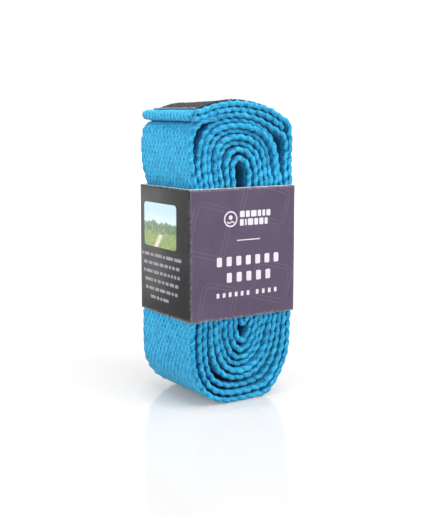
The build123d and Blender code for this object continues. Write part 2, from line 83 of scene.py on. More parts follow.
ROUTE = [
    (-0.40, 74.82), (-0.60, 66.52), (-0.56, 56.53), (-0.39, 46.54), (-0.10, 37.77), (-0.02, 35.13), (0.05, 33.64),
    (0.29, 32.50), (0.82, 31.66), (1.67, 31.37), (2.48, 31.81), (2.93, 32.72), (3.09, 33.89), (3.04, 35.42),
    (2.85, 38.20), (2.26, 47.36), (1.83, 57.23), (1.80, 66.52), (1.77, 72.69), (1.69, 74.88), (1.40, 76.30),
    (0.92, 77.33), (0.22, 78.00), (-0.64, 78.19), (-1.44, 77.83), (-1.99, 77.00), (-2.33, 75.80), (-2.57, 74.06),
    (-2.81, 70.22), (-3.16, 62.33), (-3.06, 53.17), (-2.76, 43.19), (-2.47, 33.82), (-2.27, 30.11), (-1.88, 27.96),
    (-1.34, 26.46), (-0.67, 25.37), (0.16, 24.65), (1.14, 24.42), (2.10, 24.78), (2.90, 25.60), (3.58, 26.82),
    (4.22, 28.62), (4.88, 31.23), (5.32, 34.51), (5.37, 38.70), (4.95, 46.47), (4.30, 56.44), (3.96, 66.33),
    (3.83, 74.78), (3.56, 83.26), (3.43, 89.27), (3.19, 91.77), (2.76, 93.45), (2.11, 94.69), (1.23, 95.55),
    (0.19, 95.97), (-0.91, 95.93), (-1.92, 95.45), (-2.74, 94.56), (-3.31, 93.30), (-3.59, 91.66), (-3.54, 89.42),
    (-3.33, 86.04), (-3.46, 82.02), (-3.95, 78.16), (-4.61, 74.33), (-5.07, 67.61), (-5.42, 58.18), (-5.32, 49.09),
    (-4.93, 39.10), (-4.64, 31.46), (-4.30, 28.10), (-3.68, 25.64), (-2.91, 23.76), (-2.01, 22.37), (-0.98, 21.40),
    (0.18, 20.86), (1.41, 20.82), (2.61, 21.28), (3.73, 22.16), (4.76, 23.46), (5.69, 25.28), (6.52, 27.81),
    (7.27, 31.13), (7.68, 34.75), (7.66, 39.36), (7.16, 48.07), (6.64, 57.75), (6.55, 67.28), (6.69, 77.27),
    (6.86, 86.56), (6.80, 90.49), (6.43, 93.00), (5.76, 94.99), (4.83, 96.60), (3.64, 97.84), (2.25, 98.72),
    (0.71, 99.20), (-0.87, 99.30), (-2.39, 99.01), (-3.76, 98.35), (-4.92, 97.33), (-5.77, 95.97), (-6.29, 94.27),
    (-6.49, 92.16), (-6.31, 89.28), (-6.04, 85.21), (-6.18, 80.35), (-6.76, 74.27), (-7.37, 65.18), (-7.65, 56.93),
    (-7.52, 47.28), (-7.18, 37.29), (-6.88, 30.31), (-6.40, 26.77), (-5.67, 23.99), (-4.73, 21.77), (-3.66, 20.05),
    (-2.44, 18.78), (-1.09, 17.95), (0.36, 17.53), (1.84, 17.56), (3.30, 18.03), (4.68, 18.94), (5.97, 20.28),
    (7.14, 22.06), (8.14, 24.34), (8.96, 27.29), (9.62, 31.10), (9.94, 35.25), (9.83, 41.09), (9.33, 50.96),
    (9.01, 60.70), (9.06, 70.68), (9.27, 80.67), (9.43, 88.73), (9.30, 92.19), (8.86, 94.63), (8.11, 96.62),
    (7.02, 98.28), (5.63, 99.66), (3.96, 100.72), (2.06, 101.46), (0.03, 101.84), (-1.98, 101.85), (-3.84, 101.51),
    (-5.48, 100.80), (-6.87, 99.77), (-7.94, 98.40), (-8.71, 96.71), (-9.15, 94.67), (-9.26, 92.13), (-8.97, 88.60),
    (-8.73, 83.99), (-8.95, 77.48), (-9.56, 67.53), (-9.87, 58.56), (-9.77, 48.78), (-9.47, 38.79), (-9.13, 30.80),
    (-8.66, 26.68), (-7.93, 23.47), (-6.98, 20.88), (-5.85, 18.80), (-4.56, 17.18), (-3.12, 15.99), (-1.55, 15.21),
    (0.14, 14.86), (1.87, 14.91), (3.60, 15.38), (5.26, 16.26), (6.81, 17.55), (8.21, 19.26), (9.44, 21.40),
    (10.46, 23.99), (11.24, 27.28), (11.86, 31.47), (12.11, 36.12), (11.94, 43.75), (11.58, 53.74), (11.44, 63.73),
    (11.52, 73.72), (11.77, 83.69), (12.09, 90.02), (12.03, 93.17), (11.62, 95.57), (10.86, 97.60), (9.74, 99.35),
    (8.28, 100.86), (6.47, 102.14), (4.35, 103.14), (2.00, 103.82), (-0.48, 104.13), (-2.89, 104.07), (-5.06, 103.67),
    (-6.94, 102.95), (-8.51, 101.91), (-9.78, 100.57), (-10.72, 98.90), (-11.34, 96.88), (-11.67, 94.39), (-11.67, 91.16),
    (-11.32, 86.57), (-11.29, 80.85), (-11.70, 71.45), (-12.07, 61.60), (-12.05, 51.83), (-11.79, 41.84), (-11.45, 32.18),
    (-11.05, 26.82), (-10.42, 23.09), (-9.57, 20.15), (-8.52, 17.77), (-7.27, 15.87), (-5.84, 14.38), (-4.22, 13.28),
    (-2.39, 12.58), (-0.38, 12.27), (1.75, 12.32), (3.87, 12.73), (5.85, 13.53), (7.66, 14.71), (9.29, 16.28),
    (10.71, 18.21), (11.91, 20.54), (12.86, 23.35), (13.60, 26.91), (14.16, 31.57), (14.36, 36.95), (14.18, 45.93),
    (13.93, 55.92), (13.88, 65.91), (13.96, 75.90), (14.19, 85.79), (14.40, 91.26), (14.19, 94.44), (13.65, 97.01),
    (12.81, 99.20), (11.64, 101.08), (10.15, 102.68), (8.34, 104.02), (6.20, 105.06), (3.70, 105.83), (0.86, 106.27),
    (-2.08, 106.37), (-4.74, 106.13), (-7.03, 105.55), (-8.98, 104.67), (-10.60, 103.48), (-11.92, 102.02), (-12.91, 100.26),
    (-13.57, 98.13), (-13.95, 95.48), (-14.03, 92.12), (-13.70, 87.46), (-13.59, 81.72), (-13.93, 72.53), (-14.29, 62.55),
    (-14.32, 52.56), (-14.13, 42.57), (-13.79, 32.59), (-13.31, 25.02), (-12.79, 21.23), (-12.05, 18.39), (-11.02, 16.06),
    (-9.75, 14.10), (-8.27, 12.50), (-6.55, 11.27), (-4.57, 10.40), (-2.32, 9.87), (0.20, 9.68), (2.74, 9.83),
    (5.08, 10.35), (7.22, 11.25), (9.17, 12.53), (10.95, 14.19), (12.53, 16.20), (13.86, 18.57), (14.93, 21.37),
    (15.76, 24.70), (16.33, 28.93), (16.67, 34.38), (16.63, 42.54), (16.42, 52.53), (16.31, 62.52), (16.34, 72.51),
    (16.45, 82.50), (16.63, 90.36), (16.47, 94.23), (15.98, 97.21), (15.22, 99.65), (14.17, 101.70), (12.80, 103.44),
    (11.06, 104.93), (8.90, 106.20), (6.36, 107.29), (3.51, 108.03), (0.37, 108.45), (-2.87, 108.49), (-5.86, 108.18),
    (-8.42, 107.57), (-10.55, 106.68), (-12.32, 105.52), (-13.75, 104.08), (-14.86, 102.34), (-15.66, 100.25), (-16.17, 97.71),
    (-16.39, 94.52), (-16.23, 90.36), (-15.88, 85.09), (-15.95, 78.14), (-16.35, 68.16), (-16.59, 58.18), (-16.56, 48.19),
    (-16.40, 38.20), (-16.07, 28.21), (-15.75, 21.74), (-15.25, 17.99), (-14.53, 15.17), (-13.58, 12.90), (-12.36, 11.04),
    (-10.87, 9.51), (-9.07, 8.29), (-6.92, 7.37), (-4.35, 6.73), (-1.35, 6.38), (1.75, 6.37), (4.63, 6.73),
    (7.20, 7.43), (9.48, 8.46), (11.51, 9.84), (13.34, 11.59), (14.94, 13.68), (16.30, 16.13), (17.38, 18.96),
    (18.19, 22.26), (18.72, 26.25), (18.99, 32.02), (18.98, 41.21), (18.83, 51.20), (18.75, 61.19), (18.75, 71.18),
    (18.81, 81.17), (18.88, 90.10), (18.67, 94.61), (18.20, 97.87), (17.49, 100.41), (16.47, 102.51), (15.08, 104.34),
    (13.30, 105.98), (11.09, 107.46), (8.44, 108.74), (5.51, 109.75), (2.40, 110.38), (-0.94, 110.63), (-4.39, 110.51),
    (-7.52, 110.05), (-10.18, 109.30), (-12.42, 108.29), (-14.27, 107.02), (-15.77, 105.51), (-16.94, 103.72), (-17.78, 101.60),
    (-18.33, 99.00), (-18.61, 95.69), (-18.56, 91.47), (-18.18, 86.01), (-18.19, 79.26), (-18.54, 69.31), (-18.82, 59.32),
    (-18.87, 49.33), (-18.81, 39.34), (-18.56, 29.35), (-18.36, 21.59), (-17.98, 17.51), (-17.33, 14.39), (-16.43, 11.84),
    (-15.28, 9.71), (-13.85, 7.94), (-12.13, 6.48), (-10.10, 5.32), (-7.71, 4.44), (-4.83, 3.85), (-1.40, 3.55),
    (2.20, 3.58), (5.40, 3.97), (8.15, 4.67), (10.57, 5.69), (12.71, 7.05), (14.63, 8.77), (16.35, 10.86),
    (17.86, 13.35), (19.12, 16.20), (20.09, 19.42), (20.76, 23.16), (21.14, 27.93), (21.27, 36.04), (21.23, 46.03),
    (21.19, 56.02), (21.20, 66.01), (21.24, 76.00), (21.41, 85.99), (21.72, 95.28), (21.73, 99.26), (21.50, 101.50),
    (20.98, 103.22), (19.98, 104.60), (18.36, 105.75), (15.45, 107.42), (11.09, 109.86), (7.89, 111.23), (4.73, 112.11),
    (1.35, 112.62), (-2.21, 112.76), (-5.98, 112.48), (-10.03, 111.78), (-13.85, 110.75), (-16.41, 109.88), (-18.18, 108.94),
    (-19.47, 107.71), (-20.39, 106.16), (-20.99, 104.22), (-21.34, 101.75), (-21.39, 98.36), (-21.01, 92.99), (-20.45, 86.65),
    (-20.39, 80.42), (-20.71, 70.67), (-21.03, 60.69), (-21.15, 50.70), (-21.18, 40.70), (-21.10, 30.71), (-20.95, 22.33),
    (-20.59, 17.77), (-19.96, 14.30), (-19.04, 11.38), (-17.86, 8.87), (-16.42, 6.74), (-14.76, 4.97), (-12.85, 3.54),
    (-10.66, 2.44), (-8.13, 1.64), (-5.08, 0.97), (-1.18, 0.97), (3.06, 0.97), (6.45, 1.50), (9.24, 2.21),
    (11.69, 3.28), (13.92, 4.68), (15.95, 6.46), (17.79, 8.63), (19.46, 11.23), (20.86, 14.11), (21.91, 17.22),
    (22.65, 20.87), (23.17, 25.75), (23.49, 33.03), (23.58, 42.99), (23.61, 52.98), (23.62, 62.97), (23.62, 72.96),
    (23.63, 82.96), (23.82, 92.94), (23.93, 100.68), (23.83, 103.71), (23.46, 105.76), (22.71, 107.40), (21.51, 108.77),
    (19.59, 109.98), (15.87, 112.11), (11.75, 114.21), (8.22, 115.58), (4.88, 116.45), (1.37, 116.90), (-2.54, 116.99),
    (-6.65, 116.70), (-10.76, 116.00), (-15.22, 114.79), (-18.75, 113.69), (-20.76, 113.26), (-22.12, 113.11), (-23.23, 113.04),
    (-24.09, 112.68), (-24.34, 111.87), (-23.87, 111.15), (-22.96, 110.91), (-21.85, 110.96), (-20.47, 111.07), (-18.51, 111.49),
    (-15.26, 112.54), (-10.84, 113.78), (-6.72, 114.53), (-2.75, 114.86), (1.01, 114.79), (4.47, 114.34), (7.74, 113.50),
    (11.08, 112.19), (15.27, 109.99), (20.38, 107.00),
]
HINGE_I = 467

# ---------------------------------------------------------------------------
# centreline of the webbing, resampled by arc length
# ---------------------------------------------------------------------------


def catmull(P, n=10):
    P = np.asarray(P, float)
    A = np.vstack([2 * P[0] - P[1], P, 2 * P[-1] - P[-2]])
    out = []
    t = np.linspace(0, 1, n, endpoint=False)[:, None]
    for i in range(len(P) - 1):
        p0, p1, p2, p3 = A[i], A[i + 1], A[i + 2], A[i + 3]
        d1 = max(np.linalg.norm(p1 - p0), 1e-6) ** 0.5
        d2 = max(np.linalg.norm(p2 - p1), 1e-6) ** 0.5
        d3 = max(np.linalg.norm(p3 - p2), 1e-6) ** 0.5
        m1 = (p1 - p0) / d1 - (p2 - p0) / (d1 + d2) + (p2 - p1) / d2
        m2 = (p2 - p1) / d2 - (p3 - p1) / (d2 + d3) + (p3 - p2) / d3
        m1, m2 = m1 * d2, m2 * d2
        out.append(
            (2 * t**3 - 3 * t**2 + 1) * p1
            + (t**3 - 2 * t**2 + t) * m1
            + (-2 * t**3 + 3 * t**2) * p2
            + (t**3 - t**2) * m2
        )
    out.append(P[-1:])
    return np.vstack(out)


K = np.array(ROUTE, float)
K_S = np.r_[0, np.cumsum(np.hypot(*np.diff(K, axis=0).T))]
fine = catmull(K)
fine_s = np.r_[0, np.cumsum(np.hypot(*np.diff(fine, axis=0).T))]
fine_s *= K_S[-1] / fine_s[-1]
LEN = K_S[-1]
DS = 0.05
S_TAB = np.arange(0, LEN + DS / 2, DS)
S_TAB[-1] = min(S_TAB[-1], LEN)
CX = np.interp(S_TAB, fine_s, fine[:, 0])
CZ = np.interp(S_TAB, fine_s, fine[:, 1])


def smooth(a, r):
    k = np.hanning(2 * r + 1)
    k /= k.sum()
    p = np.r_[2 * a[0] - a[r:0:-1], a, 2 * a[-1] - a[-2 : -r - 2 : -1]]
    return np.convolve(p, k, "valid")


CX, CZ = smooth(CX, 6), smooth(CZ, 6)
TX, TZ = np.gradient(CX, DS), np.gradient(CZ, DS)
_l = np.hypot(TX, TZ)
TX, TZ = TX / _l, TZ / _l
TX, TZ = smooth(TX, 4), smooth(TZ, 4)
_l = np.hypot(TX, TZ)
TX, TZ = TX / _l, TZ / _l
# right of travel, which is the outer side
NX, NZ = TZ.copy(), -TX.copy()
KAPPA = smooth(np.gradient(np.unwrap(np.arctan2(TZ, TX)), DS), 8)

FOLD_S = 2043.4
HINGE_S = K_S[HINGE_I]


def noise1(x, scale, seed):
    """Smooth 1D value noise in -1..1."""
    r = np.random.default_rng(seed).uniform(-1, 1, 4096)
    x = np.asarray(x, float) / scale + 512
    i = np.floor(x).astype(int)
    f = x - i
    f = f * f * (3 - 2 * f)
    return r[i % 4096] * (1 - f) + r[(i + 1) % 4096] * f


def smoothstep(a, b, x):
    t = np.clip((np.asarray(x, float) - a) / (b - a), 0, 1)
    return t * t * (3 - 2 * t)


# how far each stretch of the webbing is pushed back from the front, by arc
# length; nothing is pushed back inside the sleeve
TUCK = [
    (0, 0.2), (147, 0.5), (185, 0.0), (223, 0.4), (262, 0.2), (302, 0.3), (340, 0.0),
    (387, 0.3), (430, 0.0), (476, 1.0), (520, 0.3), (555, 0.5), (570, 1.6), (590, 1.1),
    (620, 0.3), (667, 1.9), (700, 0.6), (750, 1.7), (769, 0.1), (790, 0.0), (830, 0.2),
    (874, 0.4), (925, 0.3), (961, 1.9), (984, 1.7), (1008, 0.9), (1050, 0.2),
    (1098, 0.3), (1150, 0.2), (1189, 0.2), (1215, 0.1), (1243, 0.3), (1290, 0.3),
    (1338, 1.3), (1385, 0.5), (1435, 1.2), (1464, 1.9), (1496, 1.1), (1540, 0.2),
    (1596, 0.2), (1650, 0.3), (1697, 1.1), (1731, 0.5), (1768, 0.1), (1834, 0.0),
    (1872, 0.0), (1911, 0.1), (1950, 0.1), (1977, 0.25), (1993, 0.2), (2018, 0.0),
    (2043, 0.0), (2068, 0.25), (2091, 0.8),
]
_ts, _tv = np.array(TUCK, float).T
TUCK_TAB = smooth(np.interp(S_TAB, _ts, _tv), 120)


def at(s):
    """Centre, tangent and outward normal of the centreline at arc length s."""
    return (
        np.interp(s, S_TAB, CX),
        np.interp(s, S_TAB, CZ),
        np.interp(s, S_TAB, NX),
        np.interp(s, S_TAB, NZ),
        np.interp(s, S_TAB, KAPPA),
    )


def place(s, y, off):
    """Point of the webbing's body at arc length s, distance y across and off the centreline, as it lies, in mm."""
    x0, z0, nx, nz, kap = at(s)
    # keep the inside of a tight bend from folding over itself
    inner = np.where(kap > 0, -1.0, 1.0)
    room = 1 / np.maximum(np.abs(kap), 1e-6) - 0.12
    off = np.where(off * inner > 0, inner * np.minimum(np.abs(off), room), off)
    x = x0 + nx * off
    z = z0 + nz * off
    free = 1 - smoothstep(SLEEVE_Z0 - 7, SLEEVE_Z0 - 1.0, z0) * (
        1 - smoothstep(SLEEVE_Z1 + 1.0, SLEEVE_Z1 + 8, z0)
    )
    back = np.clip((y - FRONT_Y) / WEB_W, 0, 1)
    wander = 0.16 * noise1(s, 9.0, 3) + 0.22 * noise1(s, 31.0, 5) + 0.05 * noise1(s, 3.1, 9)
    tuck = np.interp(s, S_TAB, TUCK_TAB)
    yy = y + free * ((tuck + 0.30 + wander) * (1 - back) - (0.25 + 0.6 * wander) * back)
    # the outermost ply stands off a little on both sides, and the innermost turn is opened
    x = x - 0.85 * smoothstep(1742, 1764, s) * (1 - smoothstep(1838, 1866, s))
    x = x + 0.15 * smoothstep(1908, 1935, s) * (1 - smoothstep(1988, 2004, s))
    # the sleeve's edges pinch the left side in
    left = smoothstep(1742, 1764, s) * (1 - smoothstep(1838, 1866, s))
    x = x + left * (1.25 * np.exp(-(((z0 - 83.5) / 5.0) ** 2)) + 0.55 * np.exp(-(((z0 - 35.0) / 4.0) ** 2)))
    # the top is lower at the back
    z = z - 0.95 * back * smoothstep(97, 112, z0)
    x = x + 0.75 * np.exp(-(((s - 212) / 9.0) ** 2)) * smoothstep(86, 90, z0)
    x = x + 0.35 * np.exp(-(((s - 372) / 10.0) ** 2)) * smoothstep(86, 90, z0)
    x = x + 0.9 * np.exp(-(((s - 1706) / 11.0) ** 2))
    x = x - 0.75 * np.exp(-(((s - 1444) / 12.0) ** 2))
    x = x + 0.9 * np.exp(-(((s - 1485) / 7.0) ** 2))
    # the roll is a little narrower at its back on the left
    f = np.interp(
        z0,
        [0, 6, 12, 20, 31, 45, 70, 86.0, 92.2, 99.3, 102, 108, 114],
        [-0.4, -1.2, -1.3, -1.0, -0.6, 0.0, 0.3, 0.2, -0.3, -0.5, -0.5, -0.4, 0.0],
    )
    h = np.clip(-x / 21.0, 0, 1)
    x = x + f * back**1.4 * h
    # the outermost ply bulges at the upper right and lower right shoulders
    up = smoothstep(1984, 1994, s) * smoothstep(105.4, 109.0, z0) * smoothstep(4.0, 15.0, x0)
    x = x + 1.0 * up
    z = z + 0.8 * up
    low = smoothstep(1874, 1884, s) * (1 - smoothstep(1925, 1945, s))
    low = low + 0.75 * smoothstep(1597, 1606, s) * (1 - smoothstep(1646, 1664, s))
    low = low + 0.45 * smoothstep(1340, 1348, s) * (1 - smoothstep(1385, 1400, s))
    x = x + 0.8 * low * (1 - smoothstep(17.0, 32.0, z0))
    z = z - 1.7 * low * np.exp(-(((x0 - 12.5) / 5.2) ** 2)) * (1 - smoothstep(8.0, 18.0, z0))
    # under the fold the ply stands further out at the back
    lean = smoothstep(1734, 1742, s) * (1 - smoothstep(1766, 1774, s))
    x = x - 1.8 * lean * back**1.4 * smoothstep(104.5, 109.5, z0) * (1 - smoothstep(111.0, 113.0, z0))
    # the fold of the outer loop lies slightly askew
    loop = smoothstep(HINGE_S + 8, HINGE_S + 30, s)
    x = x + loop * (1.5 + 1.4 * back) * smoothstep(2.0, -20.0, x)
    z = z - 0.30 * smoothstep(104.0, 112.0, z0) * smoothstep(-16.0, -6.0, x)
    z = z - loop * 1.30 * back * smoothstep(-6.0, 4.0, x)
    z = z + loop * 0.80 * back * smoothstep(-1.0, -12.0, x)
    z = z + loop * 0.7 * back * smoothstep(-15.0, -22.0, x)
    # below the fold nothing stands out past the sleeve's own inner faces
    held = 1 - smoothstep(105.0, 106.4, z0)
    over = np.maximum(x - 24.55, 0.0)
    x = x - held * (over - 0.38 * np.tanh(over / 0.38))
    under = np.maximum(-22.85 - x, 0.0)
    x = x + held * (under - 0.38 * np.tanh(under / 0.38))
    return x, yy, z


# ---------------------------------------------------------------------------
# weave: one height field over the ring of warp ends round the webbing
# column 0 front selvedge, 1-28 inner face, 29 back selvedge, 30-57 outer face
# ---------------------------------------------------------------------------
_cell = np.random.default_rng(11).uniform(-1, 1, (64, 1024, 3))


def grain(k, x, v, slant):
    """Height 0..1 of warp float column k at x (in columns from its middle) and v (mm)."""
    ki = np.mod(k, 58).astype(int)
    rope = (ki == 0) | (ki == 29)
    w = v / PERIOD + 0.5 * (ki % 2) + slant * x
    j = np.round(w)
    r = _cell[ki, np.mod(j, 1024).astype(int)]
    d = w - j + np.where(rope, 0.08, 0.05) * r[..., 0]
    x = x + np.where(rope, 0.08, 0.06) * r[..., 1]
    e = (np.abs(2 * x) / np.where(rope, 1.22, 1.34)) ** 2.3 + (np.abs(2 * d) / np.where(rope, 1.07, 1.0)) ** np.where(rope, 2.5, 2.3)
    return np.sqrt(np.clip(1 - 0.92 * e, 0, 1)) * (1 + 0.13 * r[..., 2])


def is_edge(c):
    k = np.floor(np.mod(c, 58)).astype(int)
    return (k == 0) | (k == 29)


def weave(c, v):
    """Height 0..1 of the woven surface, and how deep in a gap it lies."""
    k = np.floor(c)
    x = c - k - 0.5
    side = np.where(x >= 0, 1.0, -1.0)
    edge = is_edge(c)
    slant = np.where(edge, 0.30, 0.12)
    h1 = grain(k, x, v, slant)
    near_edge = is_edge(c + side)
    # a face end and the selvedge yarn beside it keep to their own sides
    h2 = grain(k + side, x - side, v, np.where(near_edge, 0.30, 0.12))
    h2 = np.where(edge | near_edge, 0.0, h2)
    return np.maximum(h1, h2)


def ring(spec):
    """Ring of samples round the webbing: y (mm), off (mm), outward direction, column, whether fine."""
    rows = []
    r = HALF

    def edge(c0, y_mid, sign, n):
        # sign -1 front edge: from the outer face round to the inner face
        for i in range(n):
            f = i / n
            th = math.pi / 2 - math.pi * f if sign < 0 else -math.pi / 2 + math.pi * f
            rows.append((y_mid + sign * r * math.cos(th), r * math.sin(th),
                         sign * math.cos(th), math.sin(th), c0 + f, 1.0))

    def face(c0, y0, y1, off_sign, cuts):
        # cuts: column positions 0..28 along the face where a sample is put
        for cc, fine_pt in cuts:
            f = cc / FACE_COLS
            rows.append((y0 + (y1 - y0) * f, off_sign * r, 0.0, off_sign, c0 + cc, fine_pt))

    yf, yb = FRONT_Y + r, BACK_Y - r
    ne = spec["edge"]
    edge(0.0, yf, -1, ne)
    face(1.0, yf, yb, -1, spec["inner"])
    edge(29.0, yb, 1, spec["back"])
    face(30.0, yb, yf, 1, spec["outer"])
    return np.array(rows, float)


def cuts(fine_cols, per, rest):
    """Sample positions along a face: fine over fine_cols column ranges, few elsewhere."""
    out = []
    for a, b in fine_cols:
        out += [(x, 1.0) for x in np.arange(a, b, 1.0 / per)]
    out += [(x, 0.0) for x in rest]
    return sorted(out)


ALL = cuts([(0, 28)], 4, [])
HIDDEN_IN = cuts([(0, 2), (27, 28)], 4, [2.0, 8.0, 15.0, 22.0, 26.0])
HIDDEN_OUT = cuts([(0, 1), (26, 28)], 4, [1.0, 6.0, 13.0, 20.0, 25.0])
FACE_H, EDGE_H = 0.32, 0.31


def webbing(name, s0, s1, spec, step):
    """A stretch of webbing from s0 to s1 as a closed mesh with its weave as geometry."""
    R = ring(spec)
    n = int(round((s1 - s0) / step)) + 1
    s = np.linspace(s0, s1, n)
    y, off, ny, no, c, fine_pt = R.T
    S, C = np.meshgrid(s, c, indexing="ij")
    h = weave(C, S)
    e = is_edge(C)
    # over the tight fold the outer face's ends draw together in pairs, as upright ribs
    pair = np.mod((C - 30.0) / 2.0, 1.0)
    rib = np.sqrt(np.clip(1 - (2 * pair - 1) ** 2, 0, 1)) * (1 + 0.06 * noise1(C * 3.1, 2.0, 77))
    bend = np.exp(-(((S - FOLD_S + 0.2) / 2.7) ** 4)) * ((C >= 31.0) & (C <= 57.0))
    h = h + (rib - h) * 0.8 * bend
    amp = np.where(e, EDGE_H, FACE_H)
    # ease between the selvedge's chunkier yarn and the face
    lift = amp * (h - 1) + np.where(e, 0.19, 0.04)
    lift = np.where(fine_pt[None] > 0, lift, -0.14)
    # loose filaments roughen the yarn
    fuzz = noise1(S * 1.7 + 31.0 * C, 0.8, 51) * 0.6 + noise1(S * 1.1 - 17.0 * C, 1.3, 52) * 0.4
    lift = lift + np.where(fine_pt[None] > 0, np.where(e, 0.085, 0.040) * fuzz, 0.0)
    off2 = off[None] + no[None] * lift
    y2 = y[None] + ny[None] * lift
    # the outermost warp end snakes from one face to the other between picks
    rim = np.minimum(np.abs(y2 - FRONT_Y), np.abs(BACK_Y - y2))
    off2 = off2 + 0.17 * np.sin(2 * math.pi * (S / PERIOD + 0.08)) * (1 - smoothstep(0.9, 3.2, rim))
    X, Y, Z = place(S, y2, off2)
    verts = np.stack([X, Y, Z], -1).reshape(-1, 3)
    m = len(c)
    i = np.arange(n - 1)[:, None] * m
    j = np.arange(m)[None]
    j2 = (j + 1) % m
    quads = np.stack([i + j, i + j2, i + m + j2, i + m + j], -1).reshape(-1, 4)
    a = len(verts)
    mid0 = verts[:m].mean(0)
    mid1 = verts[-m:].mean(0)
    verts = np.vstack([verts, mid0, mid1])
    jj = np.arange(m)
    tri0 = np.stack([jj, np.full(m, a), (jj + 1) % m], -1)
    last = (n - 1) * m
    tri1 = np.stack([last + (jj + 1) % m, np.full(m, a + 1), last + jj], -1)
    # attributes
    v = (S % (PERIOD * 512)).ravel()
    v = np.r_[v, s0, s1]
    u = np.r_[(C * 1.267).ravel(), 0, 0]
    # painted shade and painted highlight: the colour follows the weave's height, darker in the gaps between floats and
    # lighter on their tops; the fuzz term adds real tone
    weave_shade_tint = np.where(e, 0.25 + 0.64 * h, h + 0.02) + 0.16 * fuzz
    hh = np.r_[np.where(fine_pt[None] > 0, weave_shade_tint, 0.6).ravel(), 0.2, 0.2]
    ob = mesh(name, verts, [quads, tri0, tri1])
    attr(ob, "weave_u", u)
    attr(ob, "weave_v", v)
    attr(ob, "weave_h", hh)
    return ob


def mesh(name, verts_mm, face_sets, smooth_faces=True, mats=None):
    """A mesh object from vertices in mm and lists of faces."""
    me = bpy.data.meshes.new(name)
    verts = np.asarray(verts_mm, float) * MM
    me.vertices.add(len(verts))
    me.vertices.foreach_set("co", verts.astype(np.float32).ravel())
    sizes, loops = [], []
    for F in face_sets:
        F = np.asarray(F, int)
        if len(F) == 0:
            continue
        sizes.append(np.full(len(F), F.shape[1]))
        loops.append(F.ravel())
    sizes = np.concatenate(sizes)
    loops = np.concatenate(loops)
    me.loops.add(len(loops))
    me.loops.foreach_set("vertex_index", loops.astype(np.int32))
    me.polygons.add(len(sizes))
    starts = np.r_[0, np.cumsum(sizes)[:-1]].astype(np.int32)
    me.polygons.foreach_set("loop_start", starts)
    me.update(calc_edges=True)
    me.polygons.foreach_set("use_smooth", np.full(len(sizes), smooth_faces))
    if mats is not None:
        me.polygons.foreach_set("material_index", np.asarray(mats, np.int32))
    me.validate()
    me.update()
    ob = bpy.data.objects.new(name, me)
    bpy.context.scene.collection.objects.link(ob)
    return ob


def attr(ob, name, values):
    a = ob.data.attributes.new(name, "FLOAT", "POINT")
    a.data.foreach_set("value", np.asarray(values, np.float32))


def join_parts(parts):
    """Several (verts, quads) into one."""
    V, Q, n = [], [], 0
    for v, q in parts:
        V.append(v)
        Q.append(np.asarray(q, int) + n)
        n += len(v)
    return np.vstack(V), np.vstack(Q)


def tube(path, radius, sides=8):
    """A closed tube of quads along a path of points in mm, its ends drawn in to a small cap; sides is even."""
    P = np.asarray(path, float)
    n = len(P)
    T = np.gradient(P, axis=0)
    T /= np.maximum(np.linalg.norm(T, axis=1), 1e-9)[:, None]
    up = np.array([0.0, 0.0, 1.0]) if abs(T[0] @ [0, 0, 1]) < 0.9 else np.array([0.0, 1.0, 0.0])
    A = np.cross(T[0], up)
    A /= np.linalg.norm(A)
    frames = []
    for t in T:
        A = A - t * (A @ t)
        A /= np.linalg.norm(A)
        frames.append((A.copy(), np.cross(t, A)))
    r = np.broadcast_to(radius, n).astype(float).copy()
    th = np.linspace(0, 2 * math.pi, sides, endpoint=False)
    rings = []
    for p, (a, b), rr in zip(P, frames, r):
        rings.append(p + rr * (np.cos(th)[:, None] * a + np.sin(th)[:, None] * b))
    lead = P[0] - T[0] * r[0] * 0.6 + 0.35 * (rings[0] - P[0])
    tail = P[-1] + T[-1] * r[-1] * 0.6 + 0.35 * (rings[-1] - P[-1])
    rings = [np.repeat(lead.mean(0)[None], sides, 0) + 0.02 * (rings[0] - P[0]), lead] + rings + [
        tail, np.repeat(tail.mean(0)[None], sides, 0) + 0.02 * (rings[-1] - P[-1])]
    V = np.vstack(rings)
    m = len(rings)
    i = np.arange(m - 1)[:, None] * sides
    j = np.arange(sides)[None]
    j2 = (j + 1) % sides
    Q = np.stack([i + j, i + j2, i + sides + j2, i + sides + j], -1).reshape(-1, 4)
    # close both ends with a small fan of quads
    last, c0 = (m - 1) * sides, m * sides
    V = np.vstack([V, V[:sides].mean(0), V[last:last + sides].mean(0)])
    k = np.arange(0, sides, 2)
    k1, k2 = k + 1, (k + 2) % sides
    start = np.stack([np.full(len(k), c0), k2, k1, k], -1)
    end = np.stack([np.full(len(k), c0 + 1), last + k, last + k1, last + k2], -1)
    return V, np.vstack([Q, start, end])


# ---------------------------------------------------------------------------
# node helpers
# ---------------------------------------------------------------------------


def srgb(r, g, b):
    def f(c):
        c /= 255
        return c / 12.92 if c <= 0.04045 else ((c + 0.055) / 1.055) ** 2.4
    return (f(r), f(g), f(b), 1.0)


